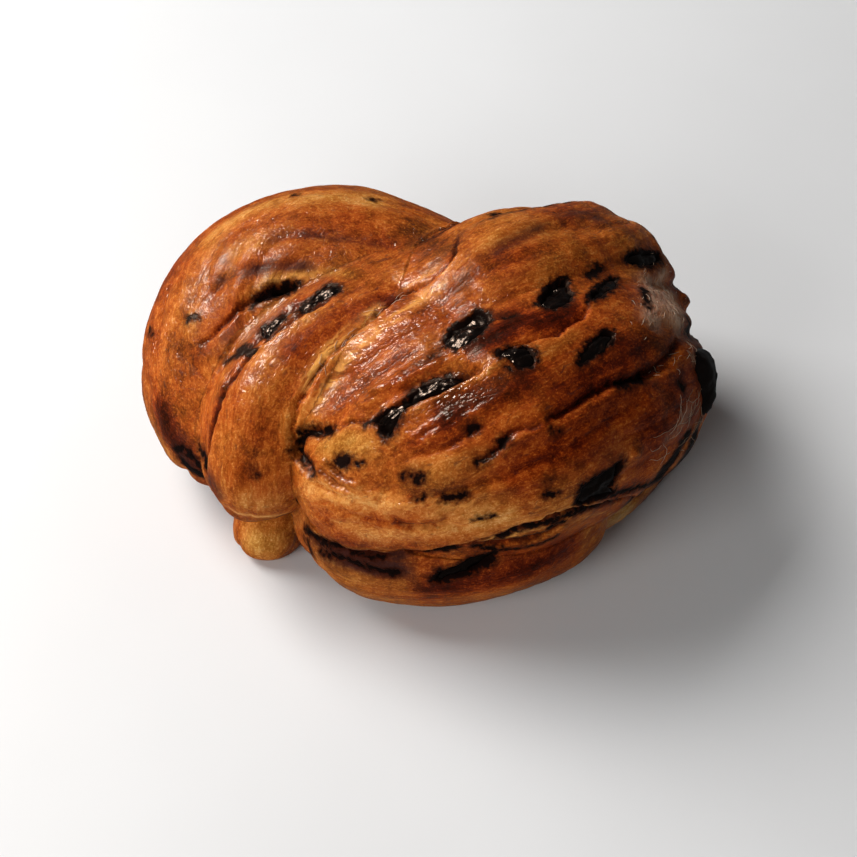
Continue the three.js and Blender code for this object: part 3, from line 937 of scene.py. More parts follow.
# %% Chocolate on the front
PER_PIXEL = 1 / PIXELS_PER_MM  # mm
CHOCOLATE_MARKS = {  # name: spots in the picture and half width in pixels
    "end of the upper split": ([(308, 433), (320, 432), (334, 431)], 3.4),
    "pit": ([(305, 435), (302, 443), (301, 452), (304, 459)], 4.6),
    "foot of the pit": ([(310, 466), (314, 472)], 4.0),
    "round speck by the pit": ([(341, 462), (347, 461)], 6.0),
    "tail of that speck": ([(352, 463), (362, 464)], 1.6),
    "thin end of the upper split": ([(366, 424), (374, 420)], 2.0),
    "hollow of the upper split": ([(404, 403), (416, 390), (432, 381), (456, 376)], 3.0),
    "blob by the band": ([(241, 350), (250, 350)], 6.0),
    "tail of that blob": ([(228, 362), (240, 354)], 3.0),
    "speck, left": ([(190, 319), (196, 318)], 3.5),
    "speck, far left": ([(151, 331), (153, 335)], 2.0),
    "foot of the loop": ([(184, 462), (192, 469), (203, 475)], 7.0),
    "foot of the loop, upper": ([(176, 450), (185, 447), (192, 453)], 3.4),
    "foot of the loop, middle": ([(189, 455), (197, 459), (199, 466)], 3.8),
    "foot of the loop, edge": ([(202, 446), (204, 456), (205, 466)], 3.4),
    "speck on the band": ([(254, 471), (258, 474)], 1.4),
    "speck over it": ([(508, 318), (516, 316)], 3.5),
    "below the pair": ([(506, 368), (512, 370)], 1.2),
    "upper dash": ([(590, 277), (601, 268)], 4.5),
    "upright dash": ([(645, 290), (648, 306)], 3.0),
    "faint blob": ([(469, 430), (476, 427)], 3.4),
    "speck in the middle": ([(502, 441), (507, 441)], 3.6),
    "grey spot, left": ([(404, 478), (408, 476)], 2.2),
    "grey spot, right": ([(417, 480), (424, 476)], 2.8),
    "middle split": ([(480, 463), (492, 457), (501, 449), (506, 440)], 2.0),
    "speck, right": ([(555, 431), (560, 431)], 1.6),
    "split, right": ([(622, 384), (634, 381), (647, 377)], 3.8),
    "two specks, upper": ([(547, 480), (552, 479)], 1.4),
    "two specks, lower": ([(548, 494), (557, 494)], 2.4),
    "low dash": ([(477, 519), (493, 517)], 1.0),
    "small pair, left": ([(416, 498), (424, 497)], 0.8),
    "small pair, right": ([(444, 498), (456, 497), (464, 496)], 3.0),
    "front edge, right": ([(500, 537), (522, 531), (545, 527), (562, 520), (580, 514), (600, 508),
                           (624, 500)], 3.0),
    "crease under the torn strip": ([(476, 549), (505, 548), (535, 544), (556, 537)], 1.6),
    "front edge, left": ([(306, 530), (322, 541), (340, 547)], 3.5),
    "front edge, middle": ([(408, 551), (430, 553), (456, 550)], 4.0),
    "lump of the front": ([(501, 539), (510, 535)], 4.0),
    "second lump of the front": ([(553, 531), (563, 525)], 4.2),
    "dark band": ([(324, 553), (350, 561), (384, 573), (398, 574)], 3.0),
    "dark band, upper": ([(352, 552), (366, 556), (384, 558)], 1.4),
    "edge of the right end, inner": ([(655, 479), (665, 467), (677, 452), (687, 436)], 7.5),
    "edge of the right end, outer": ([(666, 471), (682, 457), (693, 440), (700, 427)], 8.0),
    "crease over the right tail": ([(612, 496), (632, 490), (652, 482)], 2.2),
    "frill": ([(688, 320), (693, 326), (698, 331)], 2.6),
    "specks of the right end": ([(682, 384), (684, 388)], 3.5),
    "top edge": ([(492, 211), (500, 209)], 2.0),
    "speck on top, left": ([(295, 197), (298, 196)], 1.2),
    "speck on top, right": ([(371, 199), (376, 200)], 1.0),
}
NO_CHOCOLATE = -3.0  # mm from the nearest mark; further makes no difference
OPENING_SMEAR = 0.35  # mm of chocolate on an opening's rim

chocolate_edge = np.full(len(points), NO_CHOCOLATE)
for spots, half_width in CHOCOLATE_MARKS.values():
    near, distance, _ = stroke(spots, half_width * PER_PIXEL - NO_CHOCOLATE)
    chocolate_edge[near] = np.maximum(chocolate_edge[near], half_width * PER_PIXEL - distance)
chocolate_edge = np.maximum(chocolate_edge, inside_openings(points) + OPENING_SMEAR)
print(len(CHOCOLATE_MARKS), "marks cover", percent(chocolate_edge > 0), "% of the skin")

# %% Chocolate on the other sides
DASHES = 90
DASH_HALF_LENGTH, DASH_HALF_WIDTH = (1.2, 5.5), (0.5, 1.5)  # mm, smallest and largest
CREASE_SPANS = np.array([16.0, 9.0, 9.0])  # mm along and across
CREASE_WIDTH = 1.1
CREASE_LOSS, CREASE_CUT = 2, 0.15  # how much narrower on the front, and by how many mm everywhere
MM_PER_RIDGE = 4.5  # how far a change of 1 in the ridge noise is on the skin
MOST_FRONT = 0.3  # dashes start where the skin faces the camera less than this
LOWEST_DASH = 4  # mm above the tray

random = np.random.default_rng(8)
crease_share = stretched(flow, CREASE_SPANS, seed=37)
crease_edge = CREASE_WIDTH * (crease_share - CREASE_LOSS * front) - CREASE_CUT
crease_edge -= MM_PER_RIDGE * np.abs(ridge_noise)
chocolate_edge = np.maximum(chocolate_edge, np.clip(crease_edge, NO_CHOCOLATE, None))
unseen = np.flatnonzero((front < MOST_FRONT) & (points[:, 2] > LOWEST_DASH))
for _ in range(DASHES):
    middle = flow[random.choice(unseen)]
    half_length, half_width = random.uniform(*DASH_HALF_LENGTH), random.uniform(*DASH_HALF_WIDTH)
    offset = (flow - middle) / [half_length, half_width, half_width]
    edge = (1 - np.linalg.norm(offset, axis=1)) * half_width
    chocolate_edge = np.maximum(chocolate_edge, edge)
print(DASHES, "dashes more, now", percent(chocolate_edge > 0), "%")

# %% [markdown]
# ## Lighter, darker and stained crust, and painted shade
#
# The crust is palest where the dough was stretched late. Under a thin skin the filling shows through as a
# purple-brown or bluish-grey stain. Here and there pale dough shows, the right end is torn, and some
# stretches are more blistered than others. The darkening in the splits, in the notch, at the deep end of the
# upper split's hollow and on the front under the lower roll is painted shade, and the bluish-grey patch on
# the band's left hem is a painted shadow. These are broad, soft changes, so they are brushed on with wide
# strokes, and slow noise adds the same kind of change everywhere else.

# %% Lighter and darker crust
TONES = {  # name: spots in the picture, half width in pixels, and how much lighter (or darker, below 0)
    "loop, top": ([(200, 246), (250, 214), (320, 198), (390, 206)], 16, 0.8),
    "loop, near the notch": ([(398, 222), (428, 240), (444, 256)], 20, -1.6),
    # painted shade in the crease of the notch
    "crease at the notch": ([(458, 230), (455, 246), (450, 262)], 5, -1.4),
    "loop, upper middle": ([(226, 262), (252, 246), (300, 244)], 14, 0.8),
    "loop, middle": ([(166, 340), (190, 350), (214, 356)], 20, -1.2),
    "loop, foot": ([(158, 396), (172, 436), (194, 472)], 20, -1.9),
    "loop, beside the band": ([(212, 452), (216, 420), (226, 390), (246, 364)], 8, -1.0),
    "band, crest": ([(211, 470), (219, 436), (236, 396), (262, 362), (298, 333), (334, 312)], 7, 0.6),
    "band, low": ([(242, 486), (254, 450), (274, 410)], 17, -0.9),
    "band, hem": ([(226, 508), (238, 515), (256, 519), (276, 518), (292, 513)], 4, 2.2),
    "band, over the hem": ([(232, 494), (258, 502), (288, 500)], 14, 1.2),
    # painted shadow on the band's left hem
    "band, left hem": ([(208, 470), (212, 486), (222, 500)], 8, -1.0),
    "band, middle": ([(282, 366), (302, 342), (334, 322), (372, 305), (410, 290)], 13, -1.1),
    "left tail": ([(240, 532), (262, 542), (290, 540)], 16, 0.8),
    "crossing, left shoulder": ([(322, 396), (354, 366), (384, 342)], 15, -0.8),
    "crossing, upper left": ([(396, 330), (424, 310), (452, 290)], 14, 0.3),
    "crossing, top": ([(470, 250), (510, 236), (560, 226), (600, 224)], 14, 1.2),
    "crossing, left end": ([(324, 410), (350, 400), (376, 386)], 14, -0.9),
    "hollow of the upper split": ([(380, 402), (402, 388), (420, 378)], 7, -0.5),
    # painted shade at the deep end of the hollow
    "deep end of that hollow": ([(424, 384), (440, 379), (458, 374)], 6, -2.0),
    "crossing, top right": ([(560, 226), (600, 222), (640, 238)], 20, -1.1),
    "crossing, dark lane": ([(462, 352), (492, 338), (520, 322), (550, 318), (584, 304)], 13, -2.2),
    "under the upper split": ([(428, 418), (462, 404), (500, 388), (540, 370)], 16, -2.2),
    "over the lower split": ([(548, 398), (580, 382), (616, 362), (650, 340), (672, 320)], 20, -1.0),
    "lower roll, middle": ([(500, 478), (550, 458), (610, 434), (664, 408)], 30, -0.5),
    "lower roll, left": ([(300, 482), (328, 494), (368, 503), (410, 507)], 14, 1.7),
    "lower roll, hem": ([(330, 522), (376, 533), (430, 532), (480, 524), (524, 510)], 12, 1.6),
    "lower roll, under the pairs": ([(400, 512), (450, 514), (500, 504)], 14, 1.1),
    "lower roll, right": ([(630, 450), (664, 424), (690, 386)], 26, -0.8),
    "tan by the pit": ([(316, 452), (345, 446), (378, 444)], 12, 0.3),
    "lane below the middle": ([(400, 470), (430, 462), (470, 452)], 8, 0.5),
    # painted shade on the front, under the lower roll
    "front": ([(410, 592), (470, 582), (540, 560), (584, 536)], 18, -1.7),
    "front, purple band": ([(330, 552), (370, 566), (412, 572)], 10, -0.9),
    "right tail": ([(600, 522), (622, 514), (644, 500)], 14, 1.4),
    "front, foot": ([(312, 552), (342, 582), (382, 600)], 8, 0.4),
}
WARMTHS = {  # name: spots, half width in pixels, and how much redder (or more yellow, below 0)
    "fibres by the band": ([(396, 300), (366, 322), (338, 350), (314, 378)], 8, -0.5),
    "loop, near the notch": ([(398, 222), (428, 240), (444, 256)], 22, -0.8),
    "loop, yellow streak": ([(246, 296), (276, 279), (318, 272), (360, 276)], 7, -0.9),
    "loop, top": ([(200, 246), (250, 214), (320, 198), (390, 206)], 14, -0.4),
    "tan by the pit": ([(314, 448), (345, 444), (384, 444)], 11, -0.9),
    "lower roll, left": ([(302, 492), (330, 502), (380, 512), (440, 514)], 16, 0.8),
    "band, hem": ([(230, 502), (256, 508), (290, 504)], 13, -0.4),
    "lower roll, hem": ([(330, 522), (376, 533), (430, 532), (480, 524)], 12, 0.7),
    "left tail": ([(240, 532), (262, 542), (290, 540)], 18, -0.9),
    "lower roll, middle": ([(500, 478), (550, 458), (610, 434), (664, 408)], 30, 0.8),
    "front": ([(410, 592), (470, 582), (540, 560), (584, 536)], 18, 0.6),
    "right tail": ([(604, 520), (640, 506)], 16, -0.9),
    "band, middle": ([(286, 362), (302, 345), (334, 326), (372, 308), (410, 292)], 12, 0.9),
    "band, crest": ([(211, 470), (219, 436), (236, 396), (262, 362), (298, 333)], 8, 0.3),
    "crossing, dark lane": ([(462, 352), (492, 338), (520, 322), (550, 318), (584, 304)], 14, 0.9),
    "upper split": ([(380, 400), (410, 380), (450, 362)], 12, 0.8),
    "over the lower split": ([(548, 398), (580, 382), (616, 362), (650, 340)], 20, 0.5),
    "right end": ([(640, 450), (676, 420), (700, 380)], 22, 0.7),
    "crossing, edge": ([(500, 385), (520, 362), (560, 345), (590, 325)], 5, -0.6),
}
STAINS_AND_SHADOWS = {  # name: spots, half width in pixels, strength
    # painted shadow on the band's left hem, in the stain colour
    "band, left hem": ([(206, 466), (212, 486), (224, 502)], 13, 2.0),
    "loop, top streak": ([(262, 240), (300, 234), (340, 238), (391, 247)], 7, 0.6),
    "loop, grey streak": ([(242, 276), (262, 269), (292, 266), (320, 265)], 6, 1.4),
    "loop, grey speck": ([(216, 284), (222, 279), (228, 275)], 6, 1.5),
    "loop, end of the streak": ([(212, 290), (218, 286)], 5, 0.7),
    "loop, below the crack": ([(210, 352), (230, 336), (250, 318)], 8, 0.5),
    "loop, foot": ([(172, 440), (188, 458), (204, 470)], 19, 1.5),
    "right end, over the lump": ([(594, 466), (610, 456), (624, 446)], 9, 0.5),
    "right end, beside the lump": ([(628, 476), (640, 468), (650, 456)], 9, 0.45),
    "crossing, top": ([(487, 254), (510, 242), (530, 232), (552, 222)], 8, 0.9),
    "crossing, top right": ([(556, 220), (586, 216), (604, 228)], 8, 0.9),
    # painted shade in the notch
    "notch": ([(462, 226), (459, 244)], 6, 0.7),
    "under the skin": ([(402, 481), (415, 477), (428, 475)], 11, 1.0),
    "front, purple band": ([(320, 545), (350, 557), (380, 565), (420, 566)], 17, 1.5),
    "front, left edge": ([(306, 536), (330, 552)], 8, 0.7),
    "end of the crossing": ([(392, 312), (406, 300)], 8, 0.5),
}
PALES = {  # name: spots, half width in pixels, strength
    "fibres by the band": ([(384, 302), (366, 318), (345, 334), (326, 353), (311, 374), (302, 394)], 5, 1.0),
    "end of those fibres": ([(440, 262), (420, 277), (396, 294)], 4, 0.5),
    "torn edge of the crossing": ([(450, 276), (428, 294), (404, 312), (377, 334), (357, 353), (340, 371),
                                   (325, 392), (312, 412)], 6, 0.65),
    "loop, under the grey streak": ([(258, 285), (290, 277), (330, 276)], 4, 0.45),
    "bead": ([(225, 388), (227, 388)], 4, 0.7),
    "bubble": ([(635, 453), (638, 453)], 5, 0.35),
    "front of the right tail": ([(560, 526), (590, 520), (612, 512)], 3, 0.5),
    "lower roll, edge": ([(470, 538), (500, 531), (540, 520), (575, 508)], 3.5, 0.4),
    "torn strip": ([(478, 543), (500, 541), (522, 536), (548, 529)], 4.5, 0.9),
    "strings": ([(302, 488), (340, 498), (392, 505), (440, 506), (490, 500)], 10, 0.35),
    "strings of the hem": ([(330, 520), (376, 531), (430, 531), (490, 520)], 8, 0.3),
}
TORN = {  # name: spots, half width in pixels, strength
    "right end, left part": ([(648, 272), (653, 300), (650, 330)], 12, 0.7),
    "right end, right part": ([(660, 268), (670, 292), (680, 334)], 15, 0.9),
    "beside the black lump": ([(690, 350), (700, 372), (704, 394)], 6, 0.5),
    "right edge": ([(694, 398), (680, 424), (660, 446)], 7, 0.3),
}
BLISTERS = {  # name: spots, half width in pixels, and how much more blistered (or smoother, below 0)
    "crossing, left shoulder": ([(346, 366), (384, 338), (420, 312), (450, 290)], 15, 0.75),
    "crossing, upper left": ([(404, 322), (428, 304), (456, 288)], 11, 0.35),
    "crossing, left end": ([(306, 412), (330, 396), (352, 378)], 12, 0.1),
    "loop, grey streak": ([(214, 284), (240, 276), (270, 268), (320, 265)], 9, -0.5),
    "ridge over the hollow": ([(380, 392), (400, 379), (420, 368), (440, 358)], 6, 0.8),
    "lip under the upper split": ([(400, 420), (414, 410), (440, 396), (470, 381), (500, 362)], 7, 0.85),
    "over the long lump": ([(436, 330), (456, 316), (484, 306)], 8, 0.4),
    "loop, between the slits": ([(214, 366), (246, 334), (274, 312), (300, 298)], 8, 0.9),
    "band, crest": ([(262, 352), (290, 328), (320, 310)], 10, 0.7),
    "band, over the hem": ([(214, 430), (240, 396), (268, 372)], 10, 0.2),
    "loop, upper middle": ([(210, 290), (250, 258), (310, 250), (370, 250)], 18, -0.1),
    "between the upper lumps": ([(466, 352), (480, 350), (494, 345)], 8, -0.9),
    "folds at the pit": ([(316, 470), (334, 478), (352, 486)], 9, 1.0),
    "strings": ([(350, 498), (400, 506), (450, 506), (500, 498)], 8, 0.6),
    "below the middle split": ([(420, 488), (450, 478), (480, 462)], 8, 0.6),
    "front edge of the lower roll": ([(330, 524), (380, 536), (430, 536)], 7, 0.3),
    "band, middle": ([(286, 362), (312, 336), (350, 314), (396, 296)], 10, -0.5),
    "hollow of the upper split": ([(384, 404), (402, 390), (426, 378)], 8, -0.7),
    "crossing, dark lane": ([(490, 338), (520, 322), (550, 318), (584, 304)], 14, -0.4),
    "lower roll, right": ([(520, 470), (560, 450), (620, 420), (660, 400)], 30, -0.4),
    "front": ([(440, 590), (500, 574), (560, 548)], 20, -0.4),
}


def brushed(table):
    """The sum of soft brush strokes, each strongest on its line."""
    total = np.zeros(len(points))
    for spots, half_width, strength in table.values():
        width = half_width * PER_PIXEL
        near, distance, fade = stroke(spots, BRUSH_REACH * width)
        total[near] += strength * fade * brush_share(distance, width)
    return total


LIP_AT, LIP_WIDTH, LIP_TONE = 0.7, 0.7, 0.8  # mm below a split, mm, and how much lighter the lip is
# the splits' grooves and their lowered sides get painted shade; the lips are paler dough
GROOVE_SHADE = 1.6
TONE_REACH = 4.0  # mm from a split
SHADE_ABOVE, SHADE_BELOW = 1.6, 0.5  # how far the painted shade reaches on each side, in groove widths


def split_shade_and_lips(points):
    """Painted shade in the splits and on the lowered side above them, and paler dough on the lips."""
    total = np.zeros(len(points))
    rough_edge = ragged_edge_of(points)
    for spots, depth, width, step in SPLITS.values():
        places, ways = on_skin(spots, tree)
        near, distance, side, share = beside(points, places, ways, TONE_REACH)
        off = side * distance + rough_edge[near]
        dark = np.exp(-(off / (np.where(off > 0, SHADE_ABOVE, SHADE_BELOW) * width)) ** 2)
        lip = np.exp(-((off + LIP_AT) / LIP_WIDTH) ** 2) * step
        fade = tapered(share, line_length(places))
        total[near] += fade * (LIP_TONE * lip - GROOVE_SHADE * min(depth, 1) * dark)
    return total


def patches(span, seed):
    """Random patches of about this size, in mm."""
    return rough_noise(points / span, seed)


def streaks(length, width, seed):
    """Random streaks along the strands, of about this length and width, in mm."""
    return stretched(flow, np.array([length, width, width]), seed)


STAIN_START, STAIN_GAIN = 0.45, 1.4  # where in the noise random stains start, and how fast they grow
STAIN_LOSS = 0.6  # how much weaker they are on the front

tone = 0.4 * patches(span=14, seed=41) + 0.15 * streaks(length=26.0, width=5.5, seed=43)
# the tone holds painted shade in the splits and on their lowered sides
tone += brushed(TONES) + split_shade_and_lips(points) + 0.15 * np.clip(ridge_noise, -1, 1)
warmth = 0.35 * streaks(length=20.0, width=6.0, seed=53) + 0.35 * patches(span=9, seed=57)
warmth += brushed(WARMTHS)
stain = np.clip(streaks(length=22.0, width=5.0, seed=47) - STAIN_START, 0, 1)
stain = stain * STAIN_GAIN * (1 - STAIN_LOSS * front)
stain = np.clip(stain + brushed(STAINS_AND_SHADOWS), 0, 1)
pale = np.clip(brushed(PALES), 0, 1)
blister = 0.24 + 0.3 * streaks(length=18.0, width=5.0, seed=61) + 0.2 * patches(span=6, seed=67)
blister = np.clip(blister + brushed(BLISTERS), 0, 1)
torn = np.clip(brushed(TORN), 0, 1)
print("tone from", round(float(tone.min()), 2), "to", round(float(tone.max()), 2))


# %% Give the values to the mesh
def store(mesh, name, values):
    """Saves one number or one vector for each point of a mesh under a name that a material can read."""
    kind = "FLOAT" if values.ndim == 1 else "FLOAT_VECTOR"
    layer = mesh.attributes.new(name, kind, "POINT")
    layer.data.foreach_set("value" if kind == "FLOAT" else "vector", values.astype(np.float32).ravel())


for name, values in {"flow": flow, "chocolate_edge": chocolate_edge, "tone": tone, "warmth": warmth,
                     "stain": stain, "pale": pale, "blister": blister, "torn": torn}.items():
    store(bread_mesh, name, values)
bread_tree = BVHTree.FromPolygons(points.tolist(), [tuple(face.vertices) for face in bread_mesh.polygons])
bread_mesh.transform(Matrix.Scale(MM, 4))
bread_mesh.shade_smooth()
bread = add_object("babka_bread", bread_mesh)
print("values on the skin:", [layer.name for layer in bread_mesh.attributes])

# %% [markdown]
# ## Short ways to write a material
#
# A node material written out node by node is long and hard to follow. A few small functions that each add
# one node, and take numbers or other nodes' outputs alike, let it be read like a sum.

# %% Short ways to write a material
def add_node(tree, kind, inputs, **settings):
    made = tree.nodes.new(kind)
    for key, value in settings.items():
        setattr(made, key, value)
    for key, value in inputs.items():
        if isinstance(value, bpy.types.NodeSocket):
            tree.links.new(value, made.inputs[key])
        else:
            made.inputs[key].default_value = value
    return made


def stored(tree, name):
    """A value stored on the mesh: its number, or its vector."""
    return add_node(tree, "ShaderNodeAttribute", {}, attribute_name=name).outputs


def sums(tree, operation, first, second=0.0, third=0.0, clamp=False):
    return add_node(tree, "ShaderNodeMath", {0: first, 1: second, 2: third}, operation=operation,
                    use_clamp=clamp).outputs[0]


def between(tree, value, low, high, to_low=0.0, to_high=1.0):
    """Turns the range low to high into to_low to to_high, with soft ends."""
    inputs = {"Value": value, "From Min": low, "From Max": high, "To Min": to_low, "To Max": to_high}
    return add_node(tree, "ShaderNodeMapRange", inputs, interpolation_type="SMOOTHSTEP").outputs[0]


def scaled(tree, vector, factors):
    return add_node(tree, "ShaderNodeVectorMath", {0: vector, 1: factors}, operation="MULTIPLY").outputs[0]


def noise(tree, vector, scale=1.0, detail=2.0, roughness=0.5, distortion=0.0):
    inputs = {"Vector": vector, "Scale": scale, "Detail": detail, "Roughness": roughness,
              "Distortion": distortion}
    return add_node(tree, "ShaderNodeTexNoise", inputs).outputs[0]


def cells(tree, vector):
    """Round cells of about 1: the distance from the nearest middle, and a random value for each cell."""
    made = add_node(tree, "ShaderNodeTexVoronoi", {"Vector": vector, "Scale": 1.0})
    return made.outputs["Distance"], made.outputs["Color"]


def mixed(tree, share, first, second, blend="MIX"):
    inputs = {0: share, 6: first, 7: second}
    return add_node(tree, "ShaderNodeMix", inputs, data_type="RGBA", blend_type=blend).outputs[2]


def ramp(tree, value, stops):
    made = add_node(tree, "ShaderNodeValToRGB", {0: value})
    elements = made.color_ramp.elements
    for number, (at, colour) in enumerate(stops):
        element = elements[number] if number < 2 else elements.new(at)
        element.position = at
        element.color = (*colour, 1)
    return made.outputs[0]


def bumped(tree, height, base=None, strength=1.0):
    """A height in mm as a change of the surface's direction."""
    inputs = {"Height": height, "Distance": MM, "Strength": strength}
    if base is not None:
        inputs["Normal"] = base
    return add_node(tree, "ShaderNodeBump", inputs).outputs[0]


def new_material(name):
    material = bpy.data.materials.new(name)
    material.use_nodes = True
    return material, material.node_tree, material.node_tree.nodes["Principled BSDF"]


def place_in_mm(tree):
    """The point's place on the bun, in mm."""
    place = add_node(tree, "ShaderNodeTexCoord", {}).outputs["Object"]
    return scaled(tree, place, (1 / MM,) * 3)


# %% [markdown]
# ## The crust
#
# Egg-washed crust is orange-brown and glossy, with a fine grain that runs along the strand, tiny blisters
# that catch the light, and chocolate that shows as black marks with ragged edges. Colours mixed place by
# place would soon clash. Instead one value, the stored tone plus streaky noise, is read by two colour ramps
# from black-brown to tan, one redder and one yellower, and the stored warmth mixes the two. The stored tone
# holds painted shade too, and the short pale flecks of the noise are partly paler dough and partly painted
# highlights of tiny blisters. Stains with the painted shadow of the band's hem, pale dough and the torn patch
# go on top, broken up by the same noise. Marks of chocolate are cut out of their stored distance with noise
# added, so their edges are as irregular as real ones.
#
# The egg wash is a coat over the crust with a surface of its own. Its blisters are small domes from round
# cells, which stand out more in the coat than in the crust, so each can catch a highlight.

# %% The crust
RED_CRUST = [(0.0, (0.022, 0.0028, 0.001)), (0.25, (0.095, 0.009, 0.0014)), (0.45, (0.26, 0.036, 0.0035)),
             (0.62, (0.42, 0.085, 0.009)), (0.8, (0.56, 0.17, 0.03)), (1.0, (0.70, 0.32, 0.09))]
TAN_CRUST = [(0.0, (0.035, 0.008, 0.002)), (0.25, (0.12, 0.030, 0.004)), (0.45, (0.28, 0.085, 0.010)),
             (0.62, (0.44, 0.170, 0.026)), (0.8, (0.60, 0.30, 0.065)), (1.0, (0.76, 0.47, 0.17))]
# the colour of the stains, which also paints the shadow on the band's left hem and the shade in the notch
STAIN_AND_SHADOW_COLOUR = (0.032, 0.012, 0.012, 1)
TORN_COLOUR = (0.88, 0.64, 0.44, 1)
PALE_COLOUR = (0.88, 0.39, 0.085, 1)
CHOCOLATE_COLOUR = (0.006, 0.0024, 0.002, 1)
SCORCHED_COLOUR = (0.038, 0.006, 0.002, 1)  # the dough just round the chocolate
STAIN_AND_SHADOW_SHARE = 0.8  # how far the strongest stain and painted shadow hide the crust


def patchy(tree, name, pattern, low, high, least, most):
    """A stored strength, broken up by a pattern."""
    return sums(tree, "MULTIPLY", stored(tree, name)["Fac"], between(tree, pattern, low, high, least, most))


def crust():
    material, tree, shader = new_material("crust")
    flow_place = stored(tree, "flow")["Vector"]
    place = place_in_mm(tree)
    fibres = noise(tree, scaled(tree, flow_place, (0.1, 0.5, 0.5)), detail=1.5, roughness=0.5, distortion=0.5)
    lanes = noise(tree, scaled(tree, flow_place, (0.05, 0.2, 0.2)), detail=3, roughness=0.55, distortion=0.8)
    mottle = noise(tree, place, scale=0.33, detail=5, roughness=0.65)
    grains = noise(tree, place, scale=1.7, detail=2, roughness=0.6)
    threads = noise(tree, scaled(tree, flow_place, (0.14, 1.1, 1.1)), detail=2, roughness=0.5, distortion=0.6)
    dust = noise(tree, place, scale=2.3, detail=1, roughness=0.5)
    distance, chance = cells(tree, scaled(tree, flow_place, (0.65, 1.25, 1.25)))
    domes = sums(tree, "MULTIPLY", between(tree, distance, 0.0, 0.7, 1, 0),
                 between(tree, chance, 0.1, 0.5, 0.4, 1))
    blistered = stored(tree, "blister")["Fac"]
    domes = sums(tree, "MULTIPLY", domes, blistered)
    # short pale flecks along the strand: partly paler dough, partly painted highlights of tiny blisters
    flecks = noise(tree, scaled(tree, flow_place, (1.1, 2.0, 2.0)), detail=2, roughness=0.6)
    specks = noise(tree, scaled(tree, flow_place, (0.5, 1.0, 1.0)), detail=1, roughness=0.5)
    ragged_edge = noise(tree, place, scale=0.75, detail=2.5, roughness=0.55)

    value = sums(tree, "MULTIPLY_ADD", stored(tree, "tone")["Fac"], 0.2, 0.5)
    for pattern, low, high, darker, lighter in [
            (fibres, 0.3, 0.7, -0.04, 0.04), (lanes, 0.3, 0.7, -0.05, 0.05), (mottle, 0.3, 0.7, -0.11, 0.11),
            (threads, 0.35, 0.65, -0.03, 0.03), (grains, 0.3, 0.7, -0.05, 0.05),
            (flecks, 0.5, 0.64, -0.02, 0.1), (dust, 0.55, 0.7, 0.0, 0.14)]:
        value = sums(tree, "ADD", value, between(tree, pattern, low, high, darker, lighter))
    value = sums(tree, "MULTIPLY_ADD", domes, 0.1, value)
    warm = sums(tree, "ADD", stored(tree, "warmth")["Fac"], between(tree, mottle, 0.3, 0.7, -0.3, 0.3))
    colour = mixed(tree, between(tree, warm, -1.5, 0.7), ramp(tree, value, TAN_CRUST),
                   ramp(tree, value, RED_CRUST))
    # stains, with the painted shadow and shade brushed into the same mask
    stain_and_shadow_share = patchy(tree, "stain", fibres, 0.3, 0.6, 0.35, 1.0)
    speck_share = sums(tree, "MULTIPLY", between(tree, specks, 0.64, 0.74),
                       between(tree, lanes, 0.45, 0.6, 0.1, 0.6))
    stain_and_shadow_share = sums(tree, "MAXIMUM", stain_and_shadow_share, speck_share)
    colour = mixed(tree, sums(tree, "MULTIPLY", stain_and_shadow_share, STAIN_AND_SHADOW_SHARE), colour, STAIN_AND_SHADOW_COLOUR)
    pale_share = patchy(tree, "pale", threads, 0.4, 0.6, 0.15, 1.0)
    colour = mixed(tree, pale_share, colour, PALE_COLOUR)

    strings = noise(tree, scaled(tree, place, (1.5, 0.4, 0.4)), detail=3, roughness=0.6, distortion=0.6)
    torn_share = patchy(tree, "torn", strings, 0.32, 0.64, 0.2, 0.7)
    colour = mixed(tree, torn_share, colour, TORN_COLOUR)

    edge = between(tree, ragged_edge, 0.25, 0.75, -0.65, 0.65)
    edge = sums(tree, "ADD", stored(tree, "chocolate_edge")["Fac"], edge)
    chocolate_share = between(tree, edge, -0.35, 0.35)
    colour = mixed(tree, between(tree, edge, -1.7, 0.0, 0.0, 0.85), colour, SCORCHED_COLOUR)
    colour = mixed(tree, chocolate_share, colour, CHOCOLATE_COLOUR)
    tree.links.new(colour, shader.inputs["Base Color"])

    rough = between(tree, mottle, 0.3, 0.7, 0.36, 0.58)
    tree.links.new(rough, shader.inputs["Roughness"])
    grain_height = sums(tree, "MULTIPLY_ADD", blistered, 0.08, 0.04)
    height = sums(tree, "MULTIPLY", fibres, 0.15)
    for pattern, rise in [(threads, 0.08), (grains, grain_height), (flecks, 0.1), (torn_share, 0.3),
                          (domes, 0.09), (chocolate_share, -0.12)]:
        height = sums(tree, "MULTIPLY_ADD", pattern, rise, height)
    tree.links.new(bumped(tree, height), shader.inputs["Normal"])
    glaze = sums(tree, "MULTIPLY_ADD", grains, sums(tree, "MULTIPLY_ADD", blistered, 0.05, 0.02), height)
    glaze = sums(tree, "MULTIPLY_ADD", domes, 0.3, glaze)
    tree.links.new(bumped(tree, glaze), shader.inputs["Coat Normal"])
    shader.inputs["Specular IOR Level"].default_value = 0.08
    shader.inputs["Specular Tint"].default_value = (1.0, 0.62, 0.42, 1)
    gloss = sums(tree, "MULTIPLY_ADD", blistered, 0.65, 0.05)
    gloss = sums(tree, "MULTIPLY", gloss, between(tree, edge, -1.0, 0.0, 1, 0.2))
    tree.links.new(gloss, shader.inputs["Coat Weight"])
    shader.inputs["Coat Roughness"].default_value = 0.1
    shader.inputs["Subsurface Weight"].default_value = 0.06
    shader.inputs["Subsurface Scale"].default_value = 0.002
    shader.inputs["Subsurface Radius"].default_value = (1.0, 0.35, 0.12)
    return material


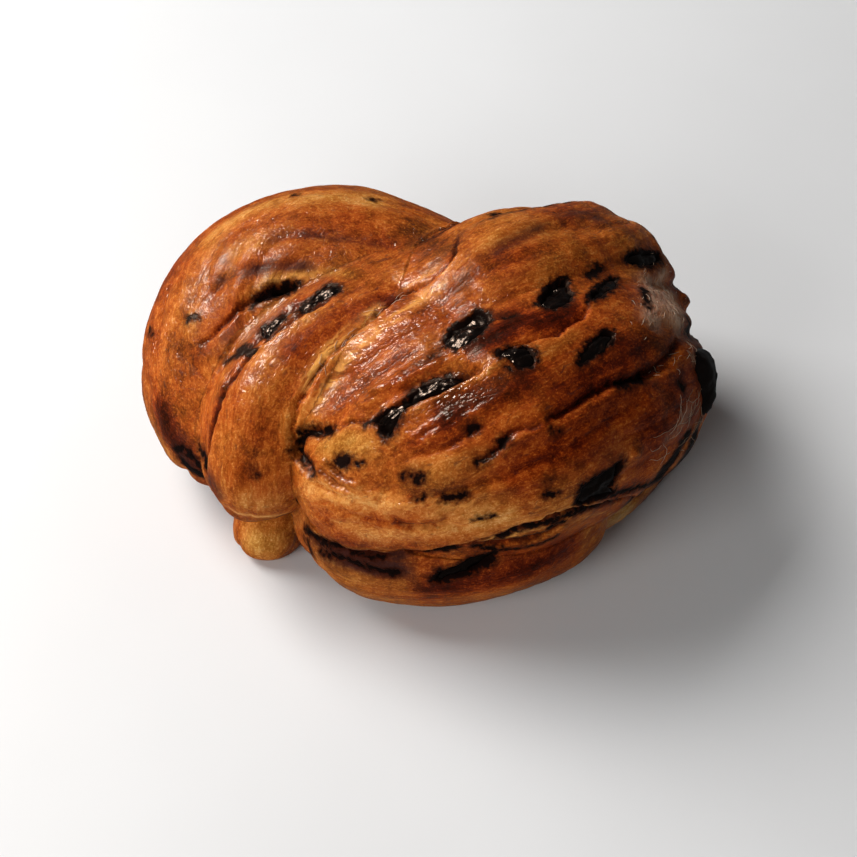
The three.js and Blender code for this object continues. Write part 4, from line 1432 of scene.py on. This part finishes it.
bread_mesh.materials.clear()
bread_mesh.materials.append(crust())
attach(bread, "root")
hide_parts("bread")
print("crust on", bread.name)

# %% [markdown]
# ## The lumps of chocolate
#
# Baking chunks melt, boil a little and set again. They keep a blocky outline but get a wrinkled skin with
# glossy ridges. Each lump starts as a ball of even triangles. It is pressed into a rounded block that fills
# its opening's outline and is as deep as its node, and is then creased by noise, so no two are alike.

# %% The lumps of chocolate
BALL_STEPS = 5
SQUARENESS = 2.6  # 2 is an ellipse, more is boxier
LUMP_LEVEL = -0.25  # mm from the smooth skin to the top of a lump
SUNKEN = {"chocolate_01": -1.0, "chocolate_02": -2.0, "chocolate_11": -2.0,  # lumps deep in a split
          "chocolate_10": 2.6}  # and one that has come out
UNDER_RIM = 0.7  # mm that a lump reaches under the rim of its opening
LEAST_RADIUS = 0.8  # mm
DENT, DENT_SPAN = 0.4, 2.6  # mm
WRINKLE, WRINKLE_MEAN = 0.45, 0.4
WRINKLE_SPANS = [1.7, 0.8, 0.9]  # mm along, across and out


def ball():
    """Points on a ball of radius 1, evenly spread, and its triangles."""
    made = bmesh.new()
    bmesh.ops.create_icosphere(made, subdivisions=BALL_STEPS, radius=1.0)
    ball_points = np.array([vertex.co for vertex in made.verts])
    ball_faces = [[vertex.index for vertex in face.verts] for face in made.faces]
    made.free()
    return ball_points, ball_faces


def outline_radius(turns, corners_of):
    """How far an outline lies from its middle in each direction."""
    radius = np.full(len(turns), LEAST_RADIUS)
    ways = np.stack([np.cos(turns), np.sin(turns)], axis=1)
    for start, end in zip(corners_of, np.roll(corners_of, -1, axis=0)):
        step = end - start
        across = ways[:, 0] * step[1] - ways[:, 1] * step[0]
        across = np.where(np.abs(across) < 1e-9, 1e-9, across)
        far = (start[0] * step[1] - start[1] * step[0]) / across
        share = (start[0] * ways[:, 1] - start[1] * ways[:, 0]) / across
        radius = np.where((share >= 0) & (share <= 1) & (far > radius), far, radius)
    return radius


def lump_shape(ball_points, name, seed):
    """The points of one lump, in mm: its opening's outline, with a flat wrinkled top just below the skin."""
    middle, axes, half = lumps[name]
    outline = outlines[name]
    centre = outline.mean(axis=0)
    size = (np.abs(ball_points) ** SQUARENESS).sum(axis=1) ** (-1 / SQUARENESS)
    shaped = ball_points * size[:, None]
    radius = outline_radius(np.arctan2(shaped[:, 1], shaped[:, 0]), outline - centre) + UNDER_RIM
    flat = centre + shaped[:, :2] * radius[:, None]
    place = middle + flat @ axes[:2]
    dents = DENT * rough_noise(place / DENT_SPAN, seed)
    wrinkles = WRINKLE * (WRINKLE_MEAN - np.abs(smooth_noise(place @ axes.T / WRINKLE_SPANS, seed + 3)))
    level = SUNKEN.get(name, LUMP_LEVEL) + dents + wrinkles - (1 - shaped[:, 2]) * half[2]
    return place + (level - near_knot(place)[0])[:, None] * axes[2]


def chocolate():
    material, tree, shader = new_material("chocolate")
    place = place_in_mm(tree)
    cloud = noise(tree, place, scale=0.5, detail=3)
    fine_noise = noise(tree, place, scale=1.5, detail=2, roughness=0.5)
    colour = ramp(tree, cloud, [(0.3, (0.0012, 0.0006, 0.0005)), (0.75, (0.004, 0.0016, 0.0011))])
    tree.links.new(colour, shader.inputs["Base Color"])
    tree.links.new(between(tree, cloud, 0.35, 0.65, 0.12, 0.26), shader.inputs["Roughness"])
    shader.inputs["Specular IOR Level"].default_value = 0.3
    shader.inputs["Specular Tint"].default_value = (1.0, 0.8, 0.7, 1)
    tree.links.new(bumped(tree, sums(tree, "MULTIPLY", fine_noise, 0.12)), shader.inputs["Normal"])
    return material


chocolate_material = chocolate()
ball_points, ball_faces = ball()
for seed, name in enumerate(lumps, 1):
    lump_mesh = new_mesh(name + "_baked", lump_shape(ball_points, name, seed) * MM, ball_faces)
    lump_mesh.shade_smooth()
    lump_mesh.materials.append(chocolate_material)
    piece = add_object(name + "_baked", lump_mesh)
    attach(piece, "root")
    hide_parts(name)
print(len(lumps), "lumps of", len(ball_faces), "triangles")

# %% [markdown]
# ## Strings of torn dough
#
# Where one strand was pulled off another, hair-thin strings of dough were drawn out and dried on the skin.
# Hair particles would be quick, but they aren't kept when the bun is saved as a plain model. So each string
# is a thin tube. It starts beside a drawn line and walks over the skin in short steps, always pulled back to
# the nearest place on it, so it lies close from any side.

# %% Strings of torn dough
STRING_RUNS = {  # name: spots in the picture, how far the strings lie off it in mm, how many, length in mm
    "right end, left part": ([(650, 268), (648, 300), (646, 344)], 2.4, 26, 3.0),
    "right end, right part": ([(668, 272), (676, 300), (684, 336)], 3.0, 34, 3.0),
    "beside the black lump": ([(690, 348), (700, 370), (704, 394)], 1.2, 20, 4.0),
    "right edge": ([(697, 392), (690, 414), (674, 432), (656, 456)], 1.0, 16, 9.0),
    "right edge, lower": ([(703, 414), (690, 436), (672, 452), (654, 474)], 1.0, 14, 9.0),
    "over the lower split": ([(646, 378), (664, 370), (684, 352)], 0.8, 10, 4.0),
    "band and crossing": ([(398, 300), (366, 324), (336, 351), (314, 382)], 0.9, 24, 4.0),
}
STRING_RADIUS = 0.055  # mm
STRING_STEP = 0.55
STRING_SIDES = 5
STRING_WANDER = 0.22  # how much a string turns at each step
STRING_LIFT = (0.02, 0.35)  # mm above the skin at the ends and in the middle
STRING_TURN = 0.35  # how far a string starts off the line's direction
STRING_LENGTHS = (0.4, 1)  # the shortest and the longest, compared with the length above
STRING_CAP_RINGS = 2


def string_line(start, ahead, length, random):
    """The middle line of one string, with its radius, as it wanders over the skin."""
    place, way, _, _ = bread_tree.find_nearest(start)
    places, ways = [place], [way]
    for _ in range(int(length / STRING_STEP)):
        ahead = (ahead + STRING_WANDER * Vector(random.normal(size=3))).normalized()
        place, way, _, _ = bread_tree.find_nearest(places[-1] + STRING_STEP * ahead)
        places.append(place)
        ways.append(way)
    arch = np.sin(np.linspace(0, math.pi, len(places)))[:, None]
    rise = STRING_LIFT[0] + STRING_LIFT[1] * random.uniform(0, 1) * arch
    lifted = np.array(places) + rise * np.array(ways)
    return np.column_stack([lifted, STRING_RADIUS * (0.5 + 0.5 * arch)])


def torn_dough():
    material, tree, shader = new_material("torn dough")
    cloud = noise(tree, place_in_mm(tree), scale=0.4, detail=2)
    tree.links.new(ramp(tree, cloud, [(0.3, (0.34, 0.2, 0.12)), (0.7, (0.66, 0.48, 0.34))]),
                   shader.inputs["Base Color"])
    shader.inputs["Roughness"].default_value = 0.5
    return material


random = np.random.default_rng(21)
strings = []
for spots, spread, count, length in STRING_RUNS.values():
    places, _ = on_skin(spots, bread_tree)
    for _ in range(count):
        k = random.integers(len(places) - 1)
        ahead = (places[k + 1] - places[k]) * random.choice([-1, 1])
        ahead = ahead / np.linalg.norm(ahead) + random.normal(size=3) * STRING_TURN
        start = places[k] + random.normal(size=3) * spread
        reach = length * random.uniform(*STRING_LENGTHS)
        line = string_line(Vector(start), Vector(ahead).normalized(), reach, random)
        strings.append(tube(line, STRING_SIDES, STRING_CAP_RINGS))
string_points, string_faces = join(strings)
string_mesh = new_mesh("babka_strings", string_points * MM, string_faces)
string_mesh.shade_smooth()
string_mesh.materials.append(torn_dough())
string_piece = add_object("babka_strings", string_mesh)
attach(string_piece, "root")
print(len(strings), "strings of", len(string_faces), "faces together")

# %% [markdown]
# ## Floor and light
#
# The bun stands on a plain pale floor. The picture's light is one broad, soft window behind the bun on the
# left, so the left loop glows, the near right side is deep brown, and the glaze sparkles on the left half of
# the crossing. A large area light gives the glow and a weaker one fills in from the front. Mirrored in the
# glaze, these two and the pale floor would veil the dark crust, so all three are left out of reflections. A
# small warm light near the window's direction is seen in reflections only, and gives the crisp sparkles.

# %% Floor and light
FLOOR_HALF = 1.6  # metres
LIGHTS = {  # name: direction from the bun, distance and size in metres, power in watts
    "window": ((-0.64, 0.38, 0.67), 0.9, 0.6, 10.5),
    "sparkle": ((-0.58, 0.44, 0.69), 0.9, 0.24, 15.0),
    "fill": ((-0.62, -0.66, 0.42), 1.2, 0.7, 8.0),
}
AIM = Vector((0, 0.005, 0.03))
SKY = 0.07
SPARKLE_COLOUR = (1.0, 0.87, 0.74)


def make_floor():
    half = FLOOR_HALF
    corners_of = [(-half, -half, 0), (half, -half, 0), (half, half, 0), (-half, half, 0)]
    floor = add_object("floor", new_mesh("floor", corners_of, [(0, 1, 2, 3)]))
    material, tree, shader = new_material("pale floor")
    cloud = noise(tree, place_in_mm(tree), scale=0.01, detail=3)
    tree.links.new(ramp(tree, cloud, [(0.3, (0.76, 0.76, 0.76)), (0.7, (0.80, 0.80, 0.80))]),
                   shader.inputs["Base Color"])
    shader.inputs["Roughness"].default_value = 0.6
    floor.data.materials.append(material)
    floor.visible_glossy = False  # else the white floor veils every glossy dark place


def make_light(name, way, distance, size, power):
    data = bpy.data.lights.new(name, "AREA")
    data.energy, data.size = power, size
    light = add_object(name, data)
    light.visible_glossy = name == "sparkle"
    light.visible_diffuse = name != "sparkle"
    if name == "sparkle":
        data.color = SPARKLE_COLOUR
    way = Vector(way).normalized()
    light.location = AIM + distance * way
    light.rotation_euler = way.to_track_quat("Z", "Y").to_euler()


make_floor()
for name, setting in LIGHTS.items():
    make_light(name, *setting)
world = bpy.data.worlds.new("studio")
world.use_nodes = True
world.node_tree.nodes["Background"].inputs["Strength"].default_value = SKY
world.node_tree.nodes["Background"].inputs["Color"].default_value = (1, 1, 1, 1)
bpy.context.scene.world = world
bpy.context.scene.view_settings.view_transform = "Standard"
print(len(LIGHTS), "lights")
